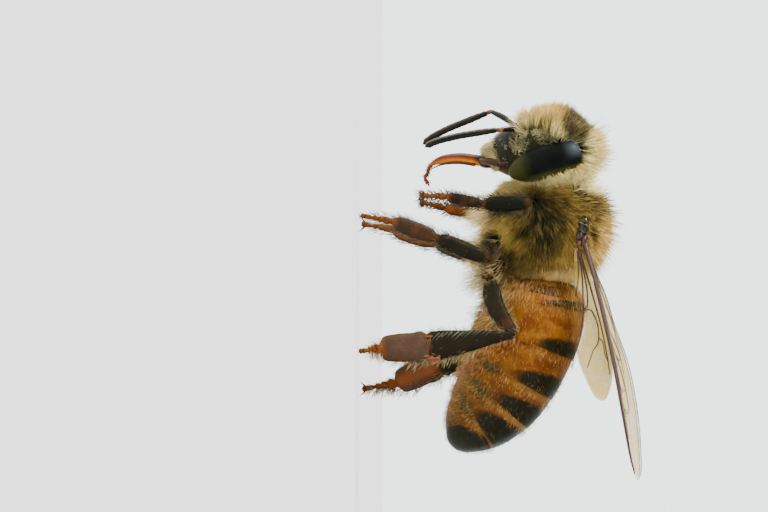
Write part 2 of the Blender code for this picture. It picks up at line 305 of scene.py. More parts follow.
def sweep(path: Array, side_hint: Array, half_side: Array, half_up: Array, around: int = 16,
          roundness: float = 1.0) -> Array:
    """Rings along a path.

    Args:
        path: Places along the middle.
        side_hint: Roughly the direction of each ring's side axis.
        half_side: Half the size along the side axis, for each place or for all.
        half_up: Half the size across it.
        around: Points in a ring.
        roundness: 1 for an ellipse, less for a squarer ring.

    Returns:
        A grid of rings, as (place, point, 3). The first point of a ring is on its side axis.
    """
    along = unit(np.gradient(path, axis=0))
    side = unit(side_hint - (along @ side_hint)[:, None] * along)
    up = np.cross(along, side)
    turn = np.arange(around) * TAU / around
    across, rise = (np.sign(wave) * abs(wave) ** roundness for wave in (np.cos(turn), np.sin(turn)))
    half_side, half_up = (np.broadcast_to(half, (len(path),)) for half in (half_side, half_up))
    return (path[:, None] + (half_side[:, None] * across)[:, :, None] * side[:, None]
            + (half_up[:, None] * rise)[:, :, None] * up[:, None])


def flatten(obj: bpy.types.Object) -> bpy.types.Mesh:
    """Applies an object's modifiers, and returns the plain mesh that it then has."""
    bpy.context.view_layer.update()
    mesh = bpy.data.meshes.new_from_object(obj.evaluated_get(bpy.context.evaluated_depsgraph_get()))
    obj.modifiers.clear()
    obj.data = mesh
    return mesh


def settle(obj: bpy.types.Object, slot: Slot, *nodes: str) -> bpy.types.Object:
    """Rides a finished piece on the bee, and hides the solids that it stands for."""
    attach(obj, "root")
    if nodes:
        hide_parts(*nodes)
    LOG.info("%-28s %7d faces", obj.name, len(obj.data.polygons))
    return obj


# ---------------------------------------------------------------- finishes


class Tree:
    """A node tree under construction, with short calls that add and link its nodes."""

    def __init__(self, tree: bpy.types.NodeTree) -> None:
        """Wraps a tree."""
        self.tree = tree

    def node(self, kind: str, inputs: Optional[dict] = None, **settings: object) -> bpy.types.Node:
        """Adds a node, sets its properties, and links or sets its inputs by name or number."""
        made = self.tree.nodes.new(kind)
        for key, value in settings.items():
            setattr(made, key, value)
        for key, value in (inputs or {}).items():
            self.feed(made.inputs[key], value)
        return made

    def feed(self, socket: bpy.types.NodeSocket, value: object) -> None:
        """Links a socket into another, or sets its constant."""
        if isinstance(value, bpy.types.NodeSocket):
            self.tree.links.new(value, socket)
        elif value is not None:
            socket.default_value = value

    def math(self, operation: str, *values: object, clamp: bool = False) -> bpy.types.NodeSocket:
        """A sum of two or three numbers."""
        made = self.node("ShaderNodeMath", dict(enumerate(values)), operation=operation, use_clamp=clamp)
        return made.outputs[0]

    def vector(self, operation: str, *values: object) -> bpy.types.NodeSocket:
        """A sum on vectors, which gives a vector or, as a length, a number."""
        made = self.node("ShaderNodeVectorMath", dict(enumerate(values)), operation=operation)
        return made.outputs["Value" if operation == "LENGTH" else 0]

    def scaled(self, vector: object, scale: object) -> bpy.types.NodeSocket:
        """A vector times a number."""
        return self.node("ShaderNodeVectorMath", {0: vector, "Scale": scale}, operation="SCALE").outputs[0]

    def step(self, value: object, low: object, high: object, to_low: float = 0.0,
             to_high: float = 1.0) -> bpy.types.NodeSocket:
        """A smooth step from to_low to to_high as value runs from low to high."""
        inputs = {"Value": value, "From Min": low, "From Max": high, "To Min": to_low, "To Max": to_high}
        return self.node("ShaderNodeMapRange", inputs, interpolation_type="SMOOTHSTEP").outputs[0]

    def wander(self, cloud: object, low: float, high: float) -> bpy.types.NodeSocket:
        """A number that wanders between two values with a noise, whose usual range is 0.3 to 0.7."""
        return self.step(cloud, 0.3, 0.7, low, high)

    def mix(self, factor: object, first: object, second: object, blend: str = "MIX") -> bpy.types.NodeSocket:
        """A mix of two colours."""
        inputs = {0: factor, 6: rgba(first), 7: rgba(second)}
        return self.node("ShaderNodeMix", inputs, data_type="RGBA", blend_type=blend).outputs[2]

    def noise(self, vector: object, scale: object, detail: float = 2.0, rough: float = 0.5,
              output: str = "Fac") -> bpy.types.NodeSocket:
        """Smooth noise from 0 to 1, with features about one in scale."""
        inputs = {"Vector": vector, "Scale": scale, "Detail": detail, "Roughness": rough}
        return self.node("ShaderNodeTexNoise", inputs).outputs[output]

    def pits(self, vector: object, scale: object) -> bpy.types.NodeSocket:
        """How far a place is from the middle of its cell."""
        return self.node("ShaderNodeTexVoronoi", {"Vector": vector, "Scale": scale}).outputs["Distance"]

    def split(self, vector: object) -> bpy.types.bpy_prop_collection:
        """The three numbers of a vector."""
        return self.node("ShaderNodeSeparateXYZ", {0: vector}).outputs

    def bump(self, height: object, depth: float, strength: object = 1.0) -> bpy.types.NodeSocket:
        """Normals of the surface raised by height times depth, in millimetres."""
        inputs = {"Height": height, "Distance": depth * MM, "Strength": strength}
        return self.node("ShaderNodeBump", inputs).outputs["Normal"]

    def value(self, name: str) -> bpy.types.NodeSocket:
        """A number that the mesh carries at each vertex."""
        return self.node("ShaderNodeAttribute", attribute_name=name).outputs["Fac"]

    def place(self) -> bpy.types.NodeSocket:
        """The place on the bee, in millimetres."""
        return self.vector("MULTIPLY", self.node("ShaderNodeTexCoord").outputs["Object"], (1 / MM,) * 3)

    def fill(self, made: bpy.types.Node, **values: object) -> bpy.types.NodeOutputs:
        """Feeds a node's inputs by name, where an underscore stands for a space, and gives its outputs."""
        for key, value in values.items():
            self.feed(made.inputs[key.replace("_", " ")], rgba(value))
        return made.outputs

    def group(self, name: str, **inputs: object) -> bpy.types.NodeOutputs:
        """Places one of the shared node groups, which is built on first use, and gives its outputs."""
        tree = bpy.data.node_groups.get(name) or GROUPS[name]()
        return self.fill(self.node("ShaderNodeGroup", node_tree=tree), **inputs)


def rgba(colour: object) -> object:
    """A colour of three numbers with its alpha; a socket or None passes through."""
    if isinstance(colour, tuple) and len(colour) == 3:
        return (*colour, 1.0)
    return colour


def node_group(name: str, inputs: dict[str, str], outputs: dict[str, str]) -> tuple[Tree, dict, dict]:
    """Starts a shader node group with named inputs and outputs.

    Args:
        name: The group's name.
        inputs: Socket types by input name.
        outputs: Socket types by output name.

    Returns:
        The tree, its input sockets by name, and its output sockets by name.
    """
    tree = bpy.data.node_groups.new(name, "ShaderNodeTree")
    for key, kind in inputs.items():
        tree.interface.new_socket(key, in_out="INPUT", socket_type=kind)
    for key, kind in outputs.items():
        tree.interface.new_socket(key, in_out="OUTPUT", socket_type=kind)
    entry, leave = tree.nodes.new("NodeGroupInput"), tree.nodes.new("NodeGroupOutput")
    ends = ({s.name: s for s in sockets if s.name} for sockets in (entry.outputs, leave.inputs))
    return Tree(tree), *ends


@dataclass(frozen=True)
class Patch:
    """A soft round marking of the coat, alike on both sides of the bee."""

    centre: tuple[float, float, float]
    size: tuple[float, float, float]     # half its reach across, along and up
    colour: tuple[float, float, float]
    softness: float = 0.45
    strength: float = 1.0


GOLD = (0.40, 0.248, 0.050)
CREAM = (0.93, 0.84, 0.42)
TAWNY = (0.58, 0.37, 0.055)
DUSK = (0.060, 0.049, 0.022)
MOSS = (0.008, 0.0115, 0.002)
MARKINGS = (
    Patch((0.0, -3.10, 8.60), (2.6, 1.0, 1.2), (0.165, 0.125, 0.042), 0.6, 0.85),
    Patch((0.0, -1.60, 8.90), (2.6, 1.1, 1.3), (0.68, 0.46, 0.14), 0.5, 0.8),
    Patch((1.2, -0.50, 7.00), (1.7, 0.38, 1.5), (0.82, 0.57, 0.20), 0.4, 0.95),
    Patch((1.0, -3.82, 5.40), (1.6, 0.48, 0.8), (0.56, 0.43, 0.17), 0.5, 0.85),
    Patch((0.0, -4.05, 8.35), (2.4, 0.66, 1.0), (0.97, 0.87, 0.48), 0.6, 0.9),
    Patch((1.40, -2.60, 6.60), (1.7, 1.55, 1.9), (0.100, 0.070, 0.013), 0.7, 0.78),
    # partly the coat's own dark olive-brown, partly painted shade low at the rear of the thorax where it
    # meets the abdomen
    Patch((1.30, -1.05, 6.00), (1.5, 0.62, 1.25), (0.100, 0.068, 0.014), 0.5, 0.85),
    Patch((1.55, -2.50, 6.60), (1.5, 1.38, 1.05), MOSS, 0.5, 0.96),
    # partly the coat's own dark olive, partly painted shade by the hind hip
    Patch((1.40, -1.12, 5.20), (1.5, 0.50, 0.55), MOSS, 0.5, 0.9),
    Patch((1.30, -2.55, 4.60), (1.7, 1.4, 0.85), (0.60, 0.44, 0.115), 0.5, 0.85),
    Patch((0.0, -5.10, 6.60), (2.6, 1.45, 2.7), CREAM, 0.3, 0.85),
    Patch((0.0, -5.95, 7.00), (1.7, 0.62, 0.62), TAWNY, 0.55, 0.85),
    Patch((0.0, -5.98, 7.82), (3.2, 0.95, 0.70), DUSK, 0.35, 0.97),
    Patch((1.2, -5.35, 6.35), (0.7, 0.34, 1.1), (0.22, 0.20, 0.105), 0.5, 0.8),
    Patch((1.0, -5.25, 5.30), (0.9, 0.60, 0.50), (0.46, 0.40, 0.19), 0.5, 0.8),
)


def markings_group() -> bpy.types.NodeTree:
    """The coat's markings by place, shared by skin and hair."""
    tree, entry, leave = node_group("Markings", {"Place": "NodeSocketVector", "Ground": "NodeSocketColor"},
                                    {"Color": "NodeSocketColor"})
    wobble = tree.vector("SUBTRACT", tree.noise(entry["Place"], 1.6, output="Color"), (0.5,) * 3)
    shake = tree.vector("MULTIPLY", wobble, (0.7,) * 3)
    split = tree.split(entry["Place"])
    both = tree.node("ShaderNodeCombineXYZ", {0: tree.math("ABSOLUTE", split[0]), 1: split[1], 2: split[2]})
    place = tree.vector("ADD", both.outputs[0], shake)
    colour = entry["Ground"]
    for patch in MARKINGS:
        away = tree.vector("SUBTRACT", place, patch.centre)
        reach = tree.vector("LENGTH", tree.vector("DIVIDE", away, patch.size))
        mask = tree.step(reach, 1.0 + patch.softness / 2, 1.0 - patch.softness, 0.0, patch.strength)
        colour = tree.mix(mask, colour, patch.colour)
    tree.feed(leave["Color"], colour)
    return tree.tree


def grain_group() -> bpy.types.NodeTree:
    """Fine pits and grain in shell, as a height."""
    tree, entry, leave = node_group("Shell grain", {"Place": "NodeSocketVector", "Scale": "NodeSocketFloat"},
                                    {"Height": "NodeSocketFloat", "Cloud": "NodeSocketFloat"})
    place, scale = entry["Place"], entry["Scale"]
    tree.feed(leave["Height"], tree.math("MULTIPLY", tree.noise(place, scale, 3.0), tree.pits(place, scale)))
    tree.feed(leave["Cloud"], tree.noise(place, 1.7, 3.0))
    return tree.tree


GROUPS = {"Markings": markings_group, "Shell grain": grain_group}


class Finish:
    """What a piece is made of. Each finish builds its material once, from named values."""

    name = "finish"

    def material(self) -> bpy.types.Material:
        """The finish's material, made on first use."""
        found = bpy.data.materials.get(self.name)
        if found:
            return found
        made = bpy.data.materials.new(self.name)
        made.use_nodes = True
        tree = Tree(made.node_tree)
        tree.fill(made.node_tree.nodes["Principled BSDF"], **self.sockets(tree))
        return made

    def sockets(self, tree: Tree) -> dict[str, object]:
        """Builds the nodes, and gives what goes into the shader's sockets. Each finish has its own."""
        raise NotImplementedError


@dataclass(frozen=True)
class Skin(Finish):
    """The dark skin under the coat, warmed by the coat's own markings."""

    name: str = "skin under the coat"
    shell: tuple = (0.0030, 0.0034, 0.0018)
    rust: tuple = (0.13, 0.042, 0.009)
    warmth: float = 0.010

    def sockets(self, tree: Tree) -> dict[str, object]:
        """Dark punctured shell with the markings showing through, and a gloss down the middle of the face."""
        place, bare = tree.place(), tree.value("bare")
        marks = tree.group("Markings", Place=place, Ground=GOLD)[0]
        grain = tree.group("Shell grain", Place=place, Scale=14.0)
        dark = tree.mix(self.warmth, self.shell, marks)
        rough = tree.wander(grain["Cloud"], 0.36, 0.5)
        ridge = tree.step(tree.math("ABSOLUTE", tree.split(place)["X"]), 0.12, 0.45, 1.0, 0.15)
        return dict(Base_Color=tree.mix(tree.value("warm"), dark, self.rust),
                    Roughness=tree.math("SUBTRACT", rough, tree.math("MULTIPLY", bare, 0.28)),
                    Normal=tree.bump(grain["Height"], 0.02, tree.math("SUBTRACT", 1.0, bare)),
                    Coat_Weight=tree.math("MULTIPLY", bare, ridge), Specular_IOR_Level=0.06,
                    Coat_Roughness=0.12)


@dataclass(frozen=True)
class Hair(Finish):
    """Hair of the coat: the ground colour with the markings, darkened towards the root as painted shade deep
    in the coat, and pale at the tip.
    """

    name: str = "coat hair"
    ground: tuple = GOLD
    root: float = 0.32          # brightness at the root, which is painted shade deep in the coat
    tip: float = 1.40           # and at the tip
    marked: bool = True
    spread: float = 0.42        # how much tufts differ
    streaks: float = 0.34       # how far single tufts keep the ground colour
    black: tuple = (0.030, 0.028, 0.010)

    def sockets(self, tree: Tree) -> dict[str, object]:
        """Hair whose colour follows the coat's place, its own length and its tuft."""
        place, colour = tree.place(), self.ground
        if self.marked:
            colour = tree.group("Markings", Place=place, Ground=colour)[0]
        streak = tree.math("MULTIPLY", tree.step(tree.value("shade"), 0.62, 0.95), self.streaks)
        colour = tree.mix(streak, colour, self.ground)
        colour = tree.mix(tree.math("MULTIPLY", tree.value("dark"), 0.94), colour, self.black)
        shade = tree.math("MULTIPLY_ADD", tree.value("shade"), 2 * self.spread, 1 - self.spread)
        shade = tree.math("MULTIPLY", shade, tree.wander(tree.noise(place, 2.2), 0.86, 1.12))
        # darker towards the root: painted shade deep in the coat
        light = tree.math("MULTIPLY", shade, tree.step(tree.value("along"), 0.0, 0.9, self.root, self.tip))
        grey = tree.node("ShaderNodeCombineColor", {0: light, 1: light, 2: light}).outputs[0]
        return dict(Base_Color=tree.mix(1.0, colour, grey, "MULTIPLY"), Roughness=0.5,
                    Specular_IOR_Level=0.13, Sheen_Weight=0.03, Sheen_Roughness=0.4)


# ---------------------------------------------------------------- the coat


KINDS = 4       # different tufts that each scatter picks from


@dataclass(frozen=True)
class TuftStyle:
    """A tuft of hairs one unit long, rising along Z and drooping towards X."""

    name: str
    hairs: int = 5
    joints: int = 3              # rings in a hair, before its tip
    radius: float = 0.017        # at the root, as a share of the length
    base: float = 0.05           # how far apart the roots stand
    spread: float = 0.16         # how far apart the tips stand
    droop: float = 0.22
    seed: int = 7

    def tuft(self, rng: np.random.Generator) -> Shape:
        """One tuft, each hair a closed three-sided spike with its place across the tuft."""
        shape = Shape()
        for hair in range(self.hairs):
            turn, out = rng.uniform(0, TAU), rng.uniform(0.2, 1.0)
            way = np.array([cos(turn), sin(turn)])
            root = way * self.base * out
            lean = way * self.spread * out + rng.normal(0, self.spread * 0.25, 2)
            length, droop = rng.uniform(0.72, 1.0), self.droop * rng.uniform(0.6, 1.4)
            share = np.linspace(0, 0.78, self.joints)
            middle = xyz(root[0] + lean[0] * share + droop * share**2, root[1] + lean[1] * share,
                         length * share)
            thick = self.radius * rng.uniform(0.8, 1.15) * (1 - 0.62 * share)
            corner = rng.uniform(0, TAU) + np.arange(3) * TAU / 3
            grid = middle[:, None] + thick[:, None, None] * xyz(np.cos(corner), np.sin(corner), 0)
            tip = np.array([root[0] + lean[0] + droop, root[1] + lean[1], length])
            points = np.concatenate([grid.reshape(-1, 3), [tip]])
            faces: list[tuple[int, ...]] = [(2, 1, 0)]
            for row in range(self.joints - 1):
                for i in range(3):
                    j = (i + 1) % 3
                    faces.append((row * 3 + i, row * 3 + j, row * 3 + 3 + j, row * 3 + 3 + i))
            top, tip_at = (self.joints - 1) * 3, self.joints * 3
            faces += [(top + i, top + (i + 1) % 3, tip_at) for i in range(3)]
            along = np.append(np.repeat(share, 3), 1.0)
            across = (hair + np.append(np.tile([0.1, 0.5, 0.9], self.joints), 0.5)) / self.hairs
            shape.add(points, faces, along=along, across=across)
        return shape

    def collection(self, finish: Finish) -> bpy.types.Collection:
        """A collection of a few kinds of tuft for the scatter to pick from."""
        rng = np.random.default_rng(self.seed)
        held = bpy.data.collections.new(self.name)
        for kind in range(KINDS):
            tuft = self.tuft(rng).make(f"{self.name} {kind}", finish, unit_size=1.0, sharp=180.0)
            bpy.context.scene.collection.objects.unlink(tuft)
            held.objects.link(tuft)
        return held


def coat_tree() -> tuple[bpy.types.NodeTree, dict[str, str]]:
    """The scatter of tufts over a ground mesh, and the identifiers of its inputs by name.

    The ground carries at each vertex "fur" (0 bare to 1), "reach" (length in metres), "lie" (the way the coat
    runs) and "stand" (0 flat to 1 upright). Each tuft keeps its root's place and a shade of its own.
    """
    tree = bpy.data.node_groups.new("Coat", "GeometryNodeTree")
    kinds = {"Ground": "Geometry", "Tufts": "Collection", "Density": "Float", "Mess": "Float",
             "Length spread": "Float", "Seed": "Int", "Finish": "Material"}
    for key, kind in kinds.items():
        tree.interface.new_socket(key, in_out="INPUT", socket_type=f"NodeSocket{kind}")
    tree.interface.new_socket("Coat", in_out="OUTPUT", socket_type="NodeSocketGeometry")
    t = Tree(tree)
    entry, leave = tree.nodes.new("NodeGroupInput").outputs, tree.nodes.new("NodeGroupOutput").inputs
    seed = entry["Seed"]

    def add(kind: str, inputs: Optional[dict] = None, output: object = 0, **settings: object) -> object:
        """One output of a new node."""
        return t.node(kind, inputs, **settings).outputs[output]

    def read(name: str, kind: str = "FLOAT") -> bpy.types.NodeSocket:
        """A value that the ground carries."""
        return add("GeometryNodeInputNamedAttribute", {"Name": name}, "Attribute", data_type=kind)

    def chance(after: float, output: int, kind: str, **limits: object) -> bpy.types.NodeSocket:
        """A random number for each tuft, from a seed of its own."""
        return add("FunctionNodeRandomValue", {**limits, "Seed": t.math("ADD", seed, after)}, output,
                   data_type=kind)

    def store(geometry: object, name: str, value: object, kind: str) -> bpy.types.NodeSocket:
        """The points with a value kept on each."""
        return add("GeometryNodeStoreNamedAttribute", {"Geometry": geometry, "Name": name, "Value": value},
                   data_type=kind)

    density = t.math("MULTIPLY", read("fur"), entry["Density"])
    spots = t.node("GeometryNodeDistributePointsOnFaces",
                   {"Mesh": entry["Ground"], "Density": density, "Seed": seed}, distribute_method="RANDOM")
    lie, stand = read("lie", "FLOAT_VECTOR"), read("stand")
    jitter = add("FunctionNodeRandomValue", {"Min": (-1.0,) * 3, "Max": (1.0,) * 3, "Seed": seed}, "Value",
                 data_type="FLOAT_VECTOR")
    kept = t.node("GeometryNodeCaptureAttribute", {"Geometry": spots.outputs["Points"]}, domain="POINT")
    kept.capture_items.new("VECTOR", "Normal")
    t.feed(kept.inputs["Normal"], spots.outputs["Normal"])
    normal = kept.outputs["Normal"]
    way = t.vector("ADD", t.scaled(normal, stand), t.scaled(lie, t.math("SUBTRACT", 1.0, stand)))
    way = t.vector("ADD", way, t.scaled(jitter, entry["Mess"]))
    turned = add("FunctionNodeAlignRotationToVector", {"Vector": way}, axis="Z")
    down = t.vector("SUBTRACT", lie, t.vector("MULTIPLY", normal, (0.5,) * 3))
    turned = add("FunctionNodeAlignRotationToVector", {"Rotation": turned, "Vector": down}, axis="X",
                 pivot_axis="Z")
    points = store(kept.outputs["Geometry"], "root", add("GeometryNodeInputPosition"), "FLOAT_VECTOR")
    points = store(points, "shade", chance(3.0, 1, "FLOAT"), "FLOAT")
    swing = t.math("MULTIPLY_ADD", t.math("SUBTRACT", chance(5.0, 1, "FLOAT"), 0.5),
                   t.math("MULTIPLY", entry["Length spread"], 2.0), 1.0)
    tufts = add("GeometryNodeCollectionInfo",
                {"Collection": entry["Tufts"], "Separate Children": True, "Reset Children": True})
    placed = add("GeometryNodeInstanceOnPoints", {
        "Points": points, "Instance": tufts, "Pick Instance": True,
        "Instance Index": chance(7.0, 2, "INT", Min=0, Max=KINDS - 1), "Rotation": turned,
        "Scale": t.math("MULTIPLY", read("reach"), swing)})
    real = add("GeometryNodeRealizeInstances", {"Geometry": placed})
    t.feed(leave["Coat"], add("GeometryNodeSetMaterial", {"Geometry": real, "Material": entry["Finish"]}))
    names = {s.name: s.identifier for s in tree.interface.items_tree if s.in_out == "INPUT"}
    return tree, names


@dataclass
class Unwrap:
    """Lays a body open along a line: U runs round it and V along it."""

    line: Array
    up: Array
    patch: float = 0.003

    def at(self, places: Array) -> Array:
        """U and V of places on the skin, in millimetres."""
        best = np.full(len(places), np.inf)
        found = np.zeros((len(places), 2))
        run = run_of(self.line)
        for i, (a, b) in enumerate(zip(self.line[:-1], self.line[1:])):
            along = (b - a) / np.linalg.norm(b - a)
            share = np.clip((places - a) @ along, 0, run[i + 1] - run[i])
            away = places - (a + share[:, None] * along)
            side = unit(np.cross(self.up, along))
            over = np.cross(along, side)
            turn = np.arctan2(away @ side, away @ over) / TAU + 0.5
            gap = np.linalg.norm(away, axis=1)
            nearer = gap < best
            best[nearer] = gap[nearer]
            found[nearer] = np.stack([turn, (run[i] + share) / run[-1]], 1)[nearer]
        return 0.01 + 0.98 * found

    def lay(self, mesh: bpy.types.Mesh) -> None:
        """Gives a coat its OFBake map: each tuft is a small patch at its root's place."""
        root = numbers(mesh.attributes["root"].data, "vector", 3)
        within = np.stack([numbers(mesh.attributes[key].data, "value") for key in ("across", "along")], 1)
        spot = self.at(root / MM) + (within - 0.5) * self.patch
        corners = numbers(mesh.loops, "vertex_index", kind=np.int32)
        layer = mesh.uv_layers.new(name="OFBake")
        layer.data.foreach_set("uv", spot[corners].astype(np.float32).ravel())


class Coat:
    """Grows tufts of hair over a ground mesh."""

    LENGTH_SPREAD = 0.25        # how much lengths differ

    def __init__(self) -> None:
        """Builds the scatter once."""
        self.tree, self.inputs = coat_tree()
        self.held: dict[tuple[str, str], bpy.types.Collection] = {}

    def grow(self, name: str, ground: bpy.types.Mesh, style: TuftStyle, finish: Finish, unwrap: Unwrap,
             rule: Rule, density: float, mess: float, seed: int) -> bpy.types.Object:
        """Grows one piece of coat.

        Args:
            name: The piece's name.
            ground: The skin that it grows on, in metres.
            style: Its tufts.
            finish: Its hair.
            unwrap: The map that its tufts are laid out on.
            rule: Gives fur, reach in millimetres, lie and stand for places and normals of the ground.
            density: Tufts for each square millimetre where fur is 1.
            mess: How far tufts stray from their lie.
            seed: The scatter's seed.

        Returns:
            The coat as a plain mesh object, not yet settled.
        """
        mesh = ground.copy()
        places = numbers(mesh.vertices, "co", 3) / MM
        fur, reach, lie, stand = rule(places, numbers(mesh.vertex_normals, "vector", 3))
        carry(mesh, fur=fur, reach=reach * MM, stand=stand)
        held = mesh.attributes.new("lie", "FLOAT_VECTOR", "POINT")
        held.data.foreach_set("vector", unit(lie).astype(np.float32).ravel())
        key = (style.name, finish.name)
        if key not in self.held:
            self.held[key] = style.collection(finish)
        made = linked(name, mesh)
        scatter = made.modifiers.new("coat", "NODES")
        scatter.node_group = self.tree
        values = {"Tufts": self.held[key], "Density": density / MM**2, "Mess": mess, "Seed": seed,
                  "Length spread": self.LENGTH_SPREAD, "Finish": finish.material()}
        for word, value in values.items():
            scatter[self.inputs[word]] = value
        unwrap.lay(flatten(made))
        bpy.data.meshes.remove(mesh)
        return made

    def clear(self) -> None:
        """Removes the tufts that the scatter copied."""
        for held in self.held.values():
            for tuft in list(held.objects):
                bpy.data.objects.remove(tuft)
            bpy.data.collections.remove(held)


# ---------------------------------------------------------------- the head's own frame


@dataclass(frozen=True)
class Local:
    """A frame tilted about X, with its own origin, in millimetres."""

    origin: Array
    tilt: float

    @property
    def axes(self) -> Array:
        """Its X, Y and Z in the frame of the bee, as rows."""
        turn = radians(self.tilt)
        return np.array([[1, 0, 0], [0, cos(turn), sin(turn)], [0, -sin(turn), cos(turn)]])

    def world(self, points: Array) -> Array:
        """Local places in the frame of the bee."""
        return self.origin + np.asarray(points, float) @ self.axes

    def local(self, points: Array) -> Array:
        """Places of the bee's frame in this one."""
        return (np.asarray(points, float) - self.origin) @ self.axes.T

    def turn(self, vectors: Array) -> Array:
        """Local directions in the frame of the bee."""
        return np.asarray(vectors, float) @ self.axes


@dataclass(frozen=True)
class Plan:
    """Where the main bodies stand, read off the solids."""

    tilt: float = 15.0
    eye: tuple[float, float, float] = (1.24, 0.30, 0.08)          # in the head's frame
    socket: tuple[float, float, float] = (0.36, -0.96, -0.44)     # of a feeler, in the head's frame

    @property
    def head(self) -> Local:
        """The head's frame: Z to the crown and -Y to the face."""
        middle = (Solids.middle("eye_left") + Solids.middle("eye_right")) / 2
        about = Local(np.zeros(3), self.tilt)
        return Local(middle - about.turn((0, *self.eye[1:])), self.tilt)

    @property
    def thorax(self) -> Array:
        """The thorax's centre."""
        return Solids.middle("thorax")

    @staticmethod
    def shift() -> Array:
        """From the frame that named places are given in to that of the solids."""
        return Solids.middle("thorax") - np.array([0, -2.155, 6.74])

    def place(self, point: Sequence[float], side: Side = Side.LEFT) -> Array:
        """A named place of one side in the frame of the solids."""
        return side.mirror(point) + self.shift()

    def from_socket(self, spot: Array, side: Side) -> Array:
        """How far places in the head's frame are from a feeler's socket."""
        return np.linalg.norm(spot - side.mirror(self.socket), axis=1)


# ---------------------------------------------------------------- the skin of head and thorax


